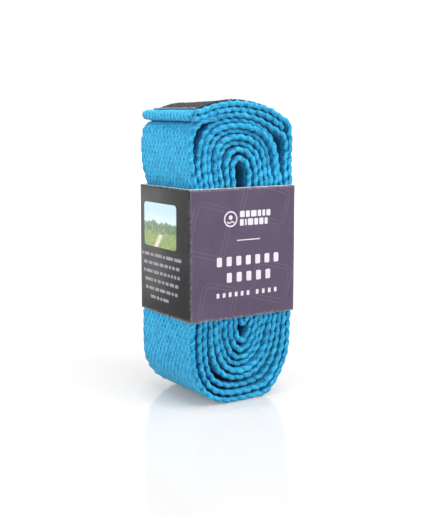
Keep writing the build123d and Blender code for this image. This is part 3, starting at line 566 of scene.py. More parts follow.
class Mat:
    def __init__(self, name):
        self.m = bpy.data.materials.new(name)
        self.m.use_nodes = True
        self.t = self.m.node_tree
        self.t.nodes.clear()
        self.out = self.t.nodes.new("ShaderNodeOutputMaterial")
        self.b = self.t.nodes.new("ShaderNodeBsdfPrincipled")
        self.t.links.new(self.b.outputs[0], self.out.inputs[0])

    def n(self, kind, **kw):
        node = self.t.nodes.new("ShaderNode" + kind)
        for k, v in kw.items():
            if hasattr(node, k) and k not in ("Scale",):
                setattr(node, k, v)
            else:
                node.inputs[k].default_value = v
        return node

    def link(self, a, b):
        self.t.links.new(a, b)

    def coords(self):
        return self.n("TexCoord").outputs["Object"]

    def attribute(self, name):
        a = self.t.nodes.new("ShaderNodeAttribute")
        a.attribute_name = name
        return a.outputs["Fac"]

    def noise(self, vec, scale, detail=3.0, rough=0.5, dims="3D"):
        a = self.n("TexNoise")
        a.noise_dimensions = dims
        a.inputs["Scale"].default_value = scale
        a.inputs["Detail"].default_value = detail
        a.inputs["Roughness"].default_value = rough
        if vec is not None:
            self.link(vec, a.inputs["Vector"])
        return a.outputs["Fac"]

    def math(self, op, a, b=None, c=None, clamp=False):
        m = self.t.nodes.new("ShaderNodeMath")
        m.operation = op
        m.use_clamp = clamp
        for k, v in enumerate((a, b, c)):
            if v is None:
                continue
            if isinstance(v, (int, float)):
                m.inputs[k].default_value = v
            else:
                self.link(v, m.inputs[k])
        return m.outputs[0]

    def ramp(self, fac, stops, mode="LINEAR"):
        r = self.t.nodes.new("ShaderNodeValToRGB")
        r.color_ramp.interpolation = mode
        els = r.color_ramp.elements
        while len(els) < len(stops):
            els.new(0.5)
        for e, (p, col) in zip(els, stops):
            e.position = p
            e.color = col
        self.link(fac, r.inputs[0])
        return r.outputs[0]

    def range(self, v, a, b, c, d):
        r = self.t.nodes.new("ShaderNodeMapRange")
        for k, x in zip(("From Min", "From Max", "To Min", "To Max"), (a, b, c, d)):
            r.inputs[k].default_value = x
        self.link(v, r.inputs["Value"])
        return r.outputs[0]

    def mix(self, fac, a, b, blend="MIX"):
        m = self.t.nodes.new("ShaderNodeMix")
        m.data_type = "RGBA"
        m.blend_type = blend
        for sock, v in ((m.inputs[0], fac), (m.inputs[6], a), (m.inputs[7], b)):
            if isinstance(v, (int, float)):
                sock.default_value = v
            elif isinstance(v, tuple):
                sock.default_value = v
            else:
                self.link(v, sock)
        return m.outputs[2]

    def xyz(self, x, y, z):
        c = self.t.nodes.new("ShaderNodeCombineXYZ")
        for k, v in enumerate((x, y, z)):
            if isinstance(v, (int, float)):
                c.inputs[k].default_value = v
            else:
                self.link(v, c.inputs[k])
        return c.outputs[0]

    def sep(self, vec):
        s = self.t.nodes.new("ShaderNodeSeparateXYZ")
        self.link(vec, s.inputs[0])
        return s.outputs

    def bump(self, height, strength, distance, normal=None):
        b = self.t.nodes.new("ShaderNodeBump")
        b.inputs["Strength"].default_value = strength
        b.inputs["Distance"].default_value = distance
        self.link(height, b.inputs["Height"])
        if normal is not None:
            self.link(normal, b.inputs["Normal"])
        self.link(b.outputs[0], self.b.inputs["Normal"])
        return b.outputs[0]

    def color(self, v):
        self.link(v, self.b.inputs["Base Color"])

    def rough(self, v):
        if isinstance(v, (int, float)):
            self.b.inputs["Roughness"].default_value = v
        else:
            self.link(v, self.b.inputs["Roughness"])

    def set(self, **kw):
        for k, v in kw.items():
            self.b.inputs[k.replace("_", " ")].default_value = v


# ---------------------------------------------------------------------------
# materials
# ---------------------------------------------------------------------------


def webbing_material():
    M = Mat("webbing_blue")
    u, v, h = M.attribute("weave_u"), M.attribute("weave_v"), M.attribute("weave_h")
    # warp yarns are two-ply: fine slanted filaments along each float
    fil = M.noise(M.xyz(M.math("MULTIPLY_ADD", v, -0.45, M.math("MULTIPLY", u, 1.0)),
                        M.math("MULTIPLY", v, 0.22), 0.0), 3.4, 3.0, 0.6)
    fuzz = M.noise(M.xyz(u, v, 0.0), 5.5, 4.0, 0.65)
    shade = M.noise(M.xyz(M.math("MULTIPLY", u, 0.25), M.math("MULTIPLY", v, 0.06), 3.0), 1.0, 2.0)
    # painted shade and painted highlight: weave_h darkens the colour in the weave's gaps and lightens it on the floats'
    # tops
    weave_shade_fac = M.math("ADD", h, M.math("MULTIPLY_ADD", fil, 0.42, -0.21))
    base = M.ramp(weave_shade_fac, [
        (0.10, srgb(*WEB_COLS[0])),
        (0.42, srgb(*WEB_COLS[1])),
        (0.78, srgb(*WEB_COLS[2])),
        (1.0, srgb(*WEB_COLS[3])),
    ])
    tone = M.mix(M.range(shade, 0.3, 0.7, 0.0, 0.30), base, srgb(*WEB_TONE), "MIX")
    tone = M.mix(M.range(fuzz, 0.55, 0.85, 0.0, 0.30), tone, srgb(*WEB_FUZZ), "MIX")
    # darker flecks where filaments part
    fleck = M.noise(M.xyz(u, M.math("MULTIPLY_ADD", u, 0.5, M.math("MULTIPLY", v, 0.8)), 7.0), 2.1, 4.0, 0.7)
    tone = M.mix(M.range(fleck, 0.50, 0.38, 0.0, 0.62), tone, srgb(4, 88, 138), "MIX")
    tone = M.mix(M.range(fleck, 0.52, 0.64, 0.0, 0.55), tone, srgb(72, 190, 228), "MIX")
    M.color(tone)
    M.rough(M.range(fil, 0.3, 0.7, 0.74, 0.90))
    M.set(Sheen_Weight=0.22, Sheen_Roughness=0.45, Specular_IOR_Level=0.32)
    M.b.inputs["Sheen Tint"].default_value = srgb(170, 225, 255)
    M.bump(M.math("ADD", M.math("MULTIPLY", fil, 0.8), M.math("MULTIPLY", fuzz, 0.35)), 0.55, 0.00012)
    return M.m


# colours run from painted shade in the weave's gaps up to painted highlight on the floats' tops
WEB_COLS = [(2, 56, 96), (10, 108, 154), (24, 146, 192), (52, 176, 216)]
WEB_TONE = (18, 134, 184)
WEB_FUZZ = (78, 192, 226)


def thread_material(name, lo, hi):
    M = Mat(name)
    P = M.coords()
    n = M.noise(P, 2600.0, 3.0, 0.6)
    M.color(M.ramp(n, [(0.25, srgb(*lo)), (0.75, srgb(*hi))]))
    M.rough(M.range(n, 0.3, 0.7, 0.6, 0.8))
    w = M.t.nodes.new("ShaderNodeTexWave")
    w.wave_type = "BANDS"
    w.bands_direction = "DIAGONAL"
    w.inputs["Scale"].default_value = 900.0
    w.inputs["Distortion"].default_value = 1.0
    M.link(P, w.inputs["Vector"])
    M.set(Sheen_Weight=0.2)
    M.bump(w.outputs["Fac"], 0.4, 0.00006)
    return M.m


def label_material():
    M = Mat("label_satin")
    u, v, h = M.attribute("weave_u"), M.attribute("weave_v"), M.attribute("weave_h")
    warp = M.t.nodes.new("ShaderNodeTexWave")
    warp.wave_type = "BANDS"
    warp.bands_direction = "X"
    warp.inputs["Scale"].default_value = 3.1
    warp.inputs["Distortion"].default_value = 0.6
    warp.inputs["Detail"].default_value = 1.0
    M.link(M.xyz(u, v, 0.0), warp.inputs["Vector"])
    weft = M.t.nodes.new("ShaderNodeTexWave")
    weft.wave_type = "BANDS"
    weft.bands_direction = "Y"
    weft.inputs["Scale"].default_value = 2.2
    weft.inputs["Distortion"].default_value = 0.6
    M.link(M.xyz(u, v, 0.0), weft.inputs["Vector"])
    weave = M.math("MULTIPLY", warp.outputs["Fac"], weft.outputs["Fac"])
    slub = M.noise(M.xyz(M.math("MULTIPLY", u, 3.0), M.math("MULTIPLY", v, 0.5), 0.0), 1.4, 4.0, 0.7)
    col = M.ramp(M.math("MULTIPLY_ADD", slub, 0.6, M.math("MULTIPLY", weave, 0.4)), [
        (0.2, srgb(12, 12, 14)), (0.55, srgb(23, 22, 24)), (0.9, srgb(42, 40, 39))])
    # loose light fibres at the cut edges
    col = M.mix(M.range(h, 0.72, 1.0, 0.0, 0.85), col, srgb(176, 188, 196))
    M.color(col)
    M.rough(M.range(slub, 0.3, 0.7, 0.42, 0.66))
    M.set(Sheen_Weight=0.03, Specular_IOR_Level=0.16)
    M.bump(weave, 0.6, 0.00008)
    return M.m


def ink_material(name, base, dark, light, rough=0.42, spec=0.45):
    """Printed, matt-laminated card: slight mottle in the ink, fine board grain, wear at the folds."""
    M = Mat(name)
    P = M.coords()
    mottle = M.noise(P, 95.0, 3.0, 0.55)
    grain_ = M.noise(P, 1900.0, 3.0, 0.6)
    speck = M.noise(P, 760.0, 2.0, 0.5)
    col = M.ramp(mottle, [(0.3, srgb(*dark)), (0.5, srgb(*base)), (0.72, srgb(*light))])
    col = M.mix(M.range(grain_, 0.35, 0.75, 0.0, 0.10), col, srgb(*light))
    wear = M.attribute("wear")
    rub = M.math("MULTIPLY", wear, M.range(speck, 0.35, 0.65, 0.0, 1.0), clamp=True)
    col = M.mix(M.math("MULTIPLY", rub, 0.5), col, srgb(206, 200, 206))
    M.color(col)
    M.rough(M.range(mottle, 0.3, 0.7, rough - 0.05, rough + 0.08))
    M.set(Specular_IOR_Level=spec)
    M.bump(M.math("ADD", grain_, M.math("MULTIPLY", speck, 0.5)), 0.25, 0.00004)
    return M.m


def plain_print(name, base, light, rough=0.5):
    M = Mat(name)
    P = M.coords()
    g = M.noise(P, 1500.0, 3.0, 0.6)
    b = M.noise(P, 160.0, 2.0)
    M.color(M.ramp(M.math("MULTIPLY_ADD", g, 0.5, M.math("MULTIPLY", b, 0.5)),
                   [(0.3, srgb(*base)), (0.7, srgb(*light))]))
    M.rough(M.range(g, 0.3, 0.7, rough - 0.05, rough + 0.08))
    M.bump(g, 0.15, 0.00003)
    return M.m


def board_material(name, lo, hi, rough=0.85):
    M = Mat(name)
    P = M.coords()
    f = M.noise(P, 420.0, 5.0, 0.65)
    g = M.noise(P, 2300.0, 2.0, 0.6)
    M.color(M.ramp(f, [(0.25, srgb(*lo)), (0.75, srgb(*hi))]))
    M.rough(rough)
    M.bump(M.math("ADD", f, M.math("MULTIPLY", g, 0.5)), 0.4, 0.00006)
    return M.m


def glue_material():
    M = Mat("glue_film")
    P = M.coords()
    f = M.noise(P, 240.0, 3.0, 0.6)
    M.color(M.ramp(f, [(0.3, srgb(196, 184, 150)), (0.7, srgb(226, 218, 190))]))
    M.rough(M.range(f, 0.3, 0.7, 0.25, 0.5))
    M.bump(f, 0.4, 0.0001)
    return M.m


def picture_material():
    """Small landscape: pale sky, band of trees, meadow, drawn from the panel's own height attribute."""
    M = Mat("picture_print")
    P = M.coords()
    t = M.attribute("weave_v")   # 0 at the panel's lower edge, 1 at its top
    u = M.attribute("weave_u")
    n1 = M.noise(M.xyz(u, 0.0, 0.0), 3.5, 4.0, 0.6)
    n2 = M.noise(M.xyz(u, M.math("MULTIPLY", t, 0.7), 2.0), 16.0, 5.0, 0.7)
    line1 = M.math("MULTIPLY_ADD", n1, 0.42, 0.36)
    tree = M.range(M.math("SUBTRACT", line1, t), -0.02, 0.03, 0.0, 1.0)
    leaf = M.ramp(n2, [(0.30, srgb(44, 62, 46)), (0.5, srgb(92, 118, 84)), (0.7, srgb(158, 178, 140))])
    sky = M.ramp(M.math("MULTIPLY_ADD", n2, 0.35, t), [(0.6, srgb(214, 226, 232)), (1.2, srgb(178, 204, 224))])
    col = M.mix(tree, sky, leaf)
    grass = M.ramp(n2, [(0.3, srgb(78, 104, 52)), (0.65, srgb(150, 172, 96))])
    col = M.mix(M.range(t, 0.38, 0.31, 0.0, 1.0), col, grass)
    path = M.range(M.math("ABSOLUTE", M.math("SUBTRACT", u, M.math("MULTIPLY_ADD", t, 0.8, 0.55))), 0.10, 0.07, 0.0, 1.0)
    path = M.math("MULTIPLY", path, M.range(t, 0.32, 0.28, 0.0, 1.0))
    col = M.mix(path, col, srgb(206, 196, 176))
    M.color(col)
    M.rough(0.4)
    g = M.noise(P, 1500.0, 3.0, 0.6)
    M.bump(g, 0.12, 0.00003)
    return M.m


mat_web = webbing_material()
mat_thread = thread_material("webbing_thread", (20, 118, 176), (84, 188, 232))
mat_label_thread = thread_material("label_thread_dark", (34, 34, 38), (86, 84, 88))
mat_label = label_material()
mat_purple = ink_material("card_ink_purple", (75, 63, 86), (70, 58, 81), (81, 68, 91))
mat_char = ink_material("card_ink_charcoal", (15, 14, 17), (12, 11, 14), (19, 18, 21), 0.22, 0.18)
mat_core = board_material("card_core", (214, 212, 206), (240, 238, 234))
mat_inside = board_material("card_inside", (196, 192, 184), (222, 218, 210))
mat_print = plain_print("print_white", (196, 192, 200), (222, 218, 225))
mat_grey = plain_print("print_grey", (118, 115, 122), (150, 147, 154))
mat_outline = plain_print("print_lilac", (94, 81, 106), (108, 95, 120))
mat_pic = picture_material()
mat_glue = glue_material()

# ---------------------------------------------------------------------------
# webbing
# ---------------------------------------------------------------------------
S_A = 1672.0        # behind the sleeve, on the last ply but one of the right column
S_B = 1981.0        # on the right column above the sleeve, under the lifted loop
STEP = PERIOD / 10

roll_inner = webbing("strap_roll", 0.0, S_A,
                     {"edge": 10, "back": 8, "inner": HIDDEN_IN, "outer": HIDDEN_OUT}, STEP)
outer_turn = webbing("strap_outer_turn", S_A, S_B,
                     {"edge": 10, "back": 8, "inner": HIDDEN_IN, "outer": ALL}, STEP)
loop_ob = webbing("strap_end_loop", S_B, LEN,
                  {"edge": 10, "back": 8, "inner": ALL, "outer": ALL}, STEP)
for o in (roll_inner, outer_turn, loop_ob):
    o.data.materials.append(mat_web)
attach(roll_inner, "roll")
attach(outer_turn, "roll")
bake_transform(loop_ob)
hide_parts("webbing_inner_loop", "webbing_roll")
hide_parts("webbing_roll")
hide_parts("webbing_outer_loop")

# ---------------------------------------------------------------------------
# label sewn on the outer loop
# ---------------------------------------------------------------------------
LABEL_W, LABEL_A, LABEL_B, LABEL_T = 35.0, 4.6, 35.0, 0.45


def label_mesh():
    ny, ns = 72, 84
    y = np.linspace(MID_Y - LABEL_W / 2, MID_Y + LABEL_W / 2, ny)
    d = np.linspace(LABEL_B, LABEL_A, ns)
    D, Y = np.meshgrid(d, y, indexing="ij")
    S = FOLD_S - D
    cockle = 0.05 * noise1(D + 3 * Y, 6.0, 21) + 0.05 * noise1(D, 4.0, 22)
    rim = np.minimum(np.minimum(D - LABEL_A, LABEL_B - D), np.minimum(Y - y[0], y[-1] - Y))
    crown = 0.10 * smoothstep(0, 1.2, rim)
    # edges are not perfectly straight
    Yj = Y + 0.12 * noise1(D, 2.2, 24) * smoothstep(0.75, 1.0, np.abs(Y - MID_Y) / (LABEL_W / 2))
    Sj = S + 0.22 * noise1(Y, 1.1, 25) * smoothstep(LABEL_A + 1.2, LABEL_A, D)
    top = HALF + 0.06 + LABEL_T - 0.12 + crown + cockle
    bot = np.full_like(top, HALF + 0.05)
    out = []
    for off in (top, bot):
        X, YY, Z = place(Sj, Yj, off)
        out.append(np.stack([X, YY, Z], -1))
    V = np.concatenate([out[0].reshape(-1, 3), out[1].reshape(-1, 3)])
    n = ns * ny
    i = np.arange(ns - 1)[:, None] * ny
    j = np.arange(ny - 1)[None]
    q = np.stack([i + j, i + j + 1, i + ny + j + 1, i + ny + j], -1).reshape(-1, 4)
    q2 = q[:, ::-1] + n
    rimloop = np.r_[np.arange(ny), np.arange(1, ns) * ny + ny - 1,
                    (ns - 1) * ny + np.arange(ny - 2, -1, -1), np.arange(ns - 2, 0, -1) * ny]
    a, b = rimloop, np.roll(rimloop, -1)
    q3 = np.stack([b, a, a + n, b + n], -1)
    ob = mesh("loop_label_woven", V, [q, q2, q3])
    fray = smoothstep(0.55, 0.0, rim) * (0.55 + 0.45 * noise1(Y * 3 + D, 0.35, 27))
    fray = fray * np.where(D < LABEL_A + 1.0, 1.0, 0.25)
    for nm, val in (("weave_u", Y), ("weave_v", D), ("weave_h", fray)):
        attr(ob, nm, np.r_[val.ravel(), val.ravel()])
    ob.data.materials.append(mat_label)
    return ob


label = label_mesh()
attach(label, "outer_loop")
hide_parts("loop_label")


def along(s, y, off):
    X, Y, Z = place(np.asarray(s, float), np.asarray(y, float), np.asarray(off, float))
    return np.stack(np.broadcast_arrays(X, Y, Z), -1).reshape(-1, 3)


def stitch_row(sa, ya, sb, yb, off, pitch=2.2, gap=0.35, radius=0.13):
    """Lock stitches from (sa, ya) to (sb, yb): each a short thread that dips in at both ends."""
    parts = []
    length = math.hypot(sb - sa, yb - ya)
    k = max(2, int(round(length / pitch)))
    for i in range(k):
        a = (i + gap / pitch / 2) / k
        b = (i + 1 - gap / pitch / 2) / k
        f = np.linspace(a, b, 7)
        dip = 1 - np.abs(np.linspace(-1, 1, 7)) ** 3
        parts.append(tube(along(sa + (sb - sa) * f, ya + (yb - ya) * f, off - 0.10 + 0.16 * dip), radius, 8))
    return parts


def tube_object(name, parts, material):
    V, Q = join_parts(parts)
    ob = mesh(name, V, [Q])
    ob.data.materials.append(material)
    return ob


inset = 1.3
y0, y1 = MID_Y - LABEL_W / 2 + inset, MID_Y + LABEL_W / 2 - inset
s0, s1 = FOLD_S - LABEL_B + inset, FOLD_S - LABEL_A - inset
off_l = HALF + 0.06 + LABEL_T + 0.06
rows = (stitch_row(s0, y0, s1, y0, off_l) + stitch_row(s0, y1, s1, y1, off_l)
        + stitch_row(s0, y0, s0, y1, off_l) + stitch_row(s1, y0, s1, y1, off_l))
label_stitches = tube_object("label_lock_stitches", rows, mat_label_thread)
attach(label_stitches, "outer_loop")
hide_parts("label_stitching")


def bar_tack(s_mid, off, sign, length=34.0, width=1.5, pitch=0.62, radius=0.15):
    """A dense zigzag of thread across the webbing."""
    n = int(length / pitch)
    y = MID_Y - length / 2 + np.arange(n + 1) * (length / n)
    s = s_mid + np.where(np.arange(n + 1) % 2 == 0, -1, 1) * width / 2
    yy = np.repeat(y, 2)[1:-1]
    ss = np.repeat(s, 2)[1:-1]
    f = np.linspace(0, 1, 6)
    ys = np.concatenate([yy[2 * i] + (yy[2 * i + 1] - yy[2 * i]) * f for i in range(n)])
    sv = np.concatenate([ss[2 * i] + (ss[2 * i + 1] - ss[2 * i]) * f for i in range(n)])
    lift = np.tile(0.10 * (1 - np.abs(2 * f - 1) ** 2), n)
    return tube(along(sv, ys, sign * (off + lift)), radius, 8)


tacks = [bar_tack(FOLD_S - d - 0.65, HALF + 0.06, 1) for d in (39.5, 43.5)]
loop_tacks = tube_object("loop_bar_tacks", tacks, mat_thread)
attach(loop_tacks, "outer_loop")
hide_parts("outer_loop_stitching")

inner_lo, inner_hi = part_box("inner_loop_stitching")
_zz = [(inner_lo.z / MM + 1.0), (inner_hi.z / MM - 1.0)]
tacks = []
for z in _zz:
    first = np.where(CZ[: int(60 / DS)] <= z)[0]
    s_t = S_TAB[first[0]] if len(first) else 15.0
    tacks.append(bar_tack(s_t, HALF + 0.02, 1, radius=0.11, width=1.3))
inner_tacks = tube_object("inner_bar_tacks", tacks, mat_thread)
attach(inner_tacks, "roll")
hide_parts("inner_loop_stitching")

# loose yarn ends at the front of the outer loop
def loose(points, r=0.22):
    P = catmull(np.array(points, float), 8)
    w = 0.06 * np.sin(np.arange(len(P)) * 1.9)
    P = P + np.stack([w, w * 0.4, -w], -1)
    rad = r * (1 - 0.45 * np.linspace(0, 1, len(P)) ** 2)
    return tube(P, rad, 8)


threads = [
    # a pulled yarn hanging over the front end of the fold
    loose([(-20.4, -19.9, 114.2), (-21.3, -20.5, 112.6), (-22.1, -20.5, 110.8), (-22.9, -20.0, 109.0)], 0.36),
    # a taut yarn lying across the mouth of the corner gap
    loose([(-18.0, -19.6, 109.5), (-14.5, -19.9, 109.9), (-10.5, -19.7, 110.6)], 0.24),
]
mat_yarn = thread_material("loose_yarn_blue", (8, 96, 142), (34, 146, 192))
threads = tube_object("loose_yarn_ends", threads, mat_yarn)
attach(threads, "outer_loop")

# light fibres along the label's cut end, next to the fold
fr = np.random.default_rng(19)
fibres = []
for k, (dd, oo, rad_) in enumerate(((4.15, 0.46, 0.16), (4.5, 0.58, 0.11))):
    yv = np.linspace(MID_Y - 17.2, MID_Y + 17.0, 90)
    sv = FOLD_S - dd + 0.12 * noise1(yv, 1.3, 60 + k)
    ov = HALF + oo + 0.06 * noise1(yv, 0.9, 70 + k)
    fibres.append(tube(along(sv, yv, ov), rad_ * (0.8 + 0.35 * noise1(yv, 0.7, 80 + k)), 6))
for k in range(44):
    y_ = fr.uniform(MID_Y - 17, MID_Y + 16.5)
    a_ = fr.uniform(-0.9, 0.9)
    f_ = np.linspace(0, 1, 5)
    sv = FOLD_S - 4.4 + (fr.uniform(0.2, 0.8)) * f_
    fibres.append(tube(along(sv, y_ + a_ * f_, HALF + 0.5 + 0.35 * np.sin(f_ * 2.6)), 0.085, 6))
mat_fibre = thread_material("label_fibre_grey", (78, 104, 118), (142, 170, 184))
fray_ob = tube_object("label_frayed_end", fibres, mat_fibre)
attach(fray_ob, "outer_loop")

# ---------------------------------------------------------------------------
# card sleeve: one strip of board folded at four corners, lapped at the back
# ---------------------------------------------------------------------------
CARD_T, CARD_R = 0.4, 0.55
INNER_LAP_X, OUTER_LAP_X = 13.0, 0.0


def sleeve_path():
    """Centreline of the board in plan, from the inner lap's free end round to the outer lap's."""
    h = CARD_T / 2
    xl, xr = SLEEVE_X0 + h, SLEEVE_X1 - h
    yf = SLEEVE_YF + h
    yi, yo = 19.45 - h, 19.95 - h
    r = CARD_R - h
    rb = 0.9        # the far left fold is a soft curve

    def line(a, b, step=0.8):
        n = max(2, int(math.hypot(b[0] - a[0], b[1] - a[1]) / step))
        f = np.linspace(0, 1, n, endpoint=False)[:, None]
        return np.array(a) + (np.array(b) - np.array(a)) * f

    def arc(cx, cy, a0, a1, n=6, rr_=r):
        t = np.radians(np.linspace(a0, a1, n, endpoint=False))
        return np.stack([cx + rr_ * np.cos(t), cy + rr_ * np.sin(t)], -1)

    # inner lap lies on the roll's back, from x = 13 leftwards, then left, front, right, outer lap
    P = [
        line((INNER_LAP_X, yi), (xl + rb, yi)),
        arc(xl + rb, yi - rb, 90, 180, 12, rb),
        line((xl, yi - rb), (xl, yf + r)),
        arc(xl + r, yf + r, 180, 270),
        line((xl + r, yf), (xr - r, yf)),
        arc(xr - r, yf + r, 270, 360),
        line((xr, yf + r), (xr, yo - r)),
        arc(xr - r, yo - r, 0, 90),
        line((xr - r, yo), (OUTER_LAP_X, yo)),
        np.array([(OUTER_LAP_X, yo)]),
    ]
    return np.vstack(P)


def card_warp(P):
    """The board's slight give over the roll, same for everything printed on it."""
    P = np.asarray(P, float).copy()
    zz = (P[:, 2] - (SLEEVE_Z0 + SLEEVE_Z1) / 2) / 25.3
    xx = (P[:, 0] - 0.85) / 24.5
    front = np.clip((-P[:, 1] - 18.0) / 1.5, 0, 1)
    P[:, 1] -= front * (0.12 * np.cos(np.clip(xx, -1, 1) * math.pi / 2) + 0.08 * noise1(P[:, 0] + 9, 16.0, 41))
    left = np.clip((-P[:, 0] - 22.5) / 1.0, 0, 1)
    yy = P[:, 1] / 20.0
    P[:, 0] -= left * 0.28 * np.cos(np.clip(yy, -1, 1) * math.pi / 2) * (1 - zz**2 * 0.4)
    edge = smoothstep(0.86, 1.0, np.abs(zz))
    P[:, 2] += edge * np.sign(zz) * 0.05 * noise1(P[:, 0] + 2 * P[:, 1], 5.0, 43)
    return P


def sleeve_mesh():
    C = sleeve_path()
    n = len(C)
    T = np.gradient(C, axis=0)
    T /= np.linalg.norm(T, axis=1)[:, None]
    N = np.stack([-T[:, 1], T[:, 0]], -1)       # left of travel
    # outward is away from the sleeve's middle
    mid = np.array([0.85, 0.0])
    if ((C - mid) * N).sum() < 0:
        N = -N
    h = CARD_T / 2
    b = 0.07
    # cross-section through the board's edge: a small softened rim
    z_in = np.linspace(SLEEVE_Z0 + b, SLEEVE_Z1 - b, 46)
    prof = [(h, z) for z in z_in] + [(h - b * 0.6, SLEEVE_Z1 - b * 0.25), (h - 1.4 * b, SLEEVE_Z1)]
    prof += [(-h + 1.4 * b, SLEEVE_Z1), (-h + b * 0.6, SLEEVE_Z1 - b * 0.25)]
    prof += [(-h, z) for z in z_in[::-1]]
    prof += [(-h + b * 0.6, SLEEVE_Z0 + b * 0.25), (-h + 1.4 * b, SLEEVE_Z0)]
    prof += [(h - 1.4 * b, SLEEVE_Z0), (h - b * 0.6, SLEEVE_Z0 + b * 0.25)]
    prof = np.array(prof)
    m = len(prof)
    XY = C[:, None, :] + N[:, None, :] * prof[None, :, :1]
    V = np.concatenate([XY, np.broadcast_to(prof[None, :, 1:], (n, m, 1))], -1).reshape(-1, 3)
    i = np.arange(n - 1)[:, None] * m
    j = np.arange(m)[None]
    j2 = (j + 1) % m
    Q = np.stack([i + j, i + j2, i + m + j2, i + m + j], -1).reshape(-1, 4)
    jj = np.tile(np.arange(m), n - 1)
    ii = np.repeat(np.arange(n - 1), m)
    cxy = C[ii]
    nz = len(z_in)
    outer = jj < nz - 1
    inside = (jj >= nz + 4 - 1) & (jj < nz + 4 + nz - 1 + 0)
    mats = np.full(len(Q), 2)
    left_panel = (cxy[:, 0] < SLEEVE_X0 + 0.30) | ((cxy[:, 0] < SLEEVE_X0 + 3.8) & (cxy[:, 1] > 0))
    mats[outer] = 0
    mats[outer & left_panel] = 1
    mats[inside] = 3
    a = len(V)
    ends = np.array([V[:m].mean(0), V[-m:].mean(0)])
    V = np.vstack([V, ends])
    jj = np.arange(m)
    t0 = np.stack([jj, np.full(m, a), (jj + 1) % m], -1)
    t1 = np.stack([(n - 1) * m + (jj + 1) % m, np.full(m, a + 1), (n - 1) * m + jj], -1)
    mats = np.r_[mats, np.full(2 * m, 2)]
    # wear: near the four folds and the cut edges
    ang = np.abs(np.gradient(np.unwrap(np.arctan2(T[:, 1], T[:, 0]))))
    arc_s = np.r_[0, np.cumsum(np.hypot(*np.diff(C, axis=0).T))]
    fold_at = arc_s[ang > 0.05]
    dist = np.min(np.abs(arc_s[:, None] - fold_at[None]), axis=1)
    w_fold = np.exp(-((dist / 0.16) ** 2))[:, None]
    dz = np.minimum(prof[:, 1] - SLEEVE_Z0, SLEEVE_Z1 - prof[:, 1])
    w_edge = np.exp(-((dz / 0.10) ** 2))[None]
    W = np.clip(0.22 * w_fold + 0.9 * w_edge, 0, 1)
    V = card_warp(V)
    # face direction: outward
    ob = mesh("card_sleeve_board", V, [Q, t0, t1], True, mats)
    attr(ob, "wear", np.r_[W.ravel(), 1, 1])
    for mm in (mat_purple, mat_char, mat_core, mat_inside):
        ob.data.materials.append(mm)
    return ob


sleeve = sleeve_mesh()
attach(sleeve, "sleeve")
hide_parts("card_sleeve")

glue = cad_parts["sleeve_glue_strip"]
for i in range(len(glue.data.materials)):
    glue.data.materials[i] = mat_glue
if not glue.data.materials:
    glue.data.materials.append(mat_glue)

# print on the card, as thin raised shapes -----------------------------------
# front panel: (x right from the panel's left corner, z up from its lower edge), in the panel's own mm
U = 1.0155
INK = 0.02


def round_rect(x0, z0, x1, z1, r, n=5):
    r = min(r, (x1 - x0) / 2 * 0.98, (z1 - z0) / 2 * 0.98)
    pts = []
    for cx, cz, a0 in ((x1 - r, z1 - r, 0), (x0 + r, z1 - r, 90), (x0 + r, z0 + r, 180), (x1 - r, z0 + r, 270)):
        for t in np.radians(np.linspace(a0, a0 + 90, n)):
            pts.append((cx + r * math.cos(t), cz + r * math.sin(t)))
    return np.array(pts)


def plaque(outline, to3d, out, depth):
    """A thin raised shape from a plane outline: verts, faces (fan of quads and rim)."""
    P = np.asarray(outline, float)
    n = len(P)
    c = P.mean(0)
    mid = c + 0.55 * (P - c)
    outer = to3d(P)
    inner = to3d(mid)
    cen = to3d(c[None])
    lift = np.asarray(out, float) * depth
    V = np.vstack([outer - lift * 0.6, outer + lift, inner + lift, cen + lift, cen - lift * 0.6])
    j = np.arange(n)
    k = (j + 1) % n
    side = np.stack([j, k, n + k, n + j], -1)
    ringq = np.stack([n + j, n + k, 2 * n + k, 2 * n + j], -1)
    capq = np.stack([2 * n + j, 2 * n + k, np.full(n, 3 * n)], -1)
    base = np.stack([k, j, np.full(n, 3 * n + 1)], -1)
    return V, np.vstack([side, ringq]), np.vstack([capq, base])


def ribbon(path, width, to3d, out, depth, closed=False):
    """A thin raised line of a given width along a plane path."""
    P = np.asarray(path, float)
    if closed:
        T = np.roll(P, -1, 0) - np.roll(P, 1, 0)
    else:
        T = np.gradient(P, axis=0)
    T /= np.maximum(np.linalg.norm(T, axis=1), 1e-9)[:, None]
    N = np.stack([-T[:, 1], T[:, 0]], -1)
    a, b = to3d(P + N * width / 2), to3d(P - N * width / 2)
    lift = np.asarray(out, float) * depth
    V = np.vstack([a - lift * 0.6, a + lift, b + lift, b - lift * 0.6])
    n = len(P)
    j = np.arange(n if closed else n - 1)
    k = (j + 1) % n
    Q = [np.stack([i * n + j, i * n + k, (i + 1) % 4 * n + k, (i + 1) % 4 * n + j], -1) for i in range(4)]
    if not closed:
        e = n - 1
        Q += [np.array([[0, n, 2 * n, 3 * n]]), np.array([[3 * n + e, 2 * n + e, n + e, e]])]
    return V, np.vstack(Q)


def front3d(P):
    P = np.asarray(P, float)
    return np.stack([SLEEVE_X0 + U * P[:, 0], np.full(len(P), SLEEVE_YF), SLEEVE_Z0 + U * P[:, 1]], -1)


def left3d(P):
    P = np.asarray(P, float)
    return np.stack([np.full(len(P), SLEEVE_X0), SLEEVE_YF + U * P[:, 0], SLEEVE_Z0 + U * P[:, 1]], -1)


def print_object(name, shapes, to3d, out, material, depth=INK):
    """Joins plaques and ribbons into one raised print."""
    V, Q, Tn, n = [], [], [], 0
    for kind, *args in shapes:
        if kind == "fill":
            v, q, t = plaque(args[0], to3d, out, depth)
            Tn.append(t + n)
        else:
            v, q = ribbon(args[0], args[1], to3d, out, depth, args[2])
        V.append(v)
        Q.append(q + n)
        n += len(v)
    V = card_warp(np.vstack(V))
    ob = mesh(name, V, [np.vstack(Q)] + ([np.vstack(Tn)] if Tn else []), False)
    ob.data.materials.append(material)
    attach(ob, "sleeve")
    return ob


def rr(x0, z0, x1, z1, r):
    return ("fill", round_rect(x0, z0, x1, z1, r))


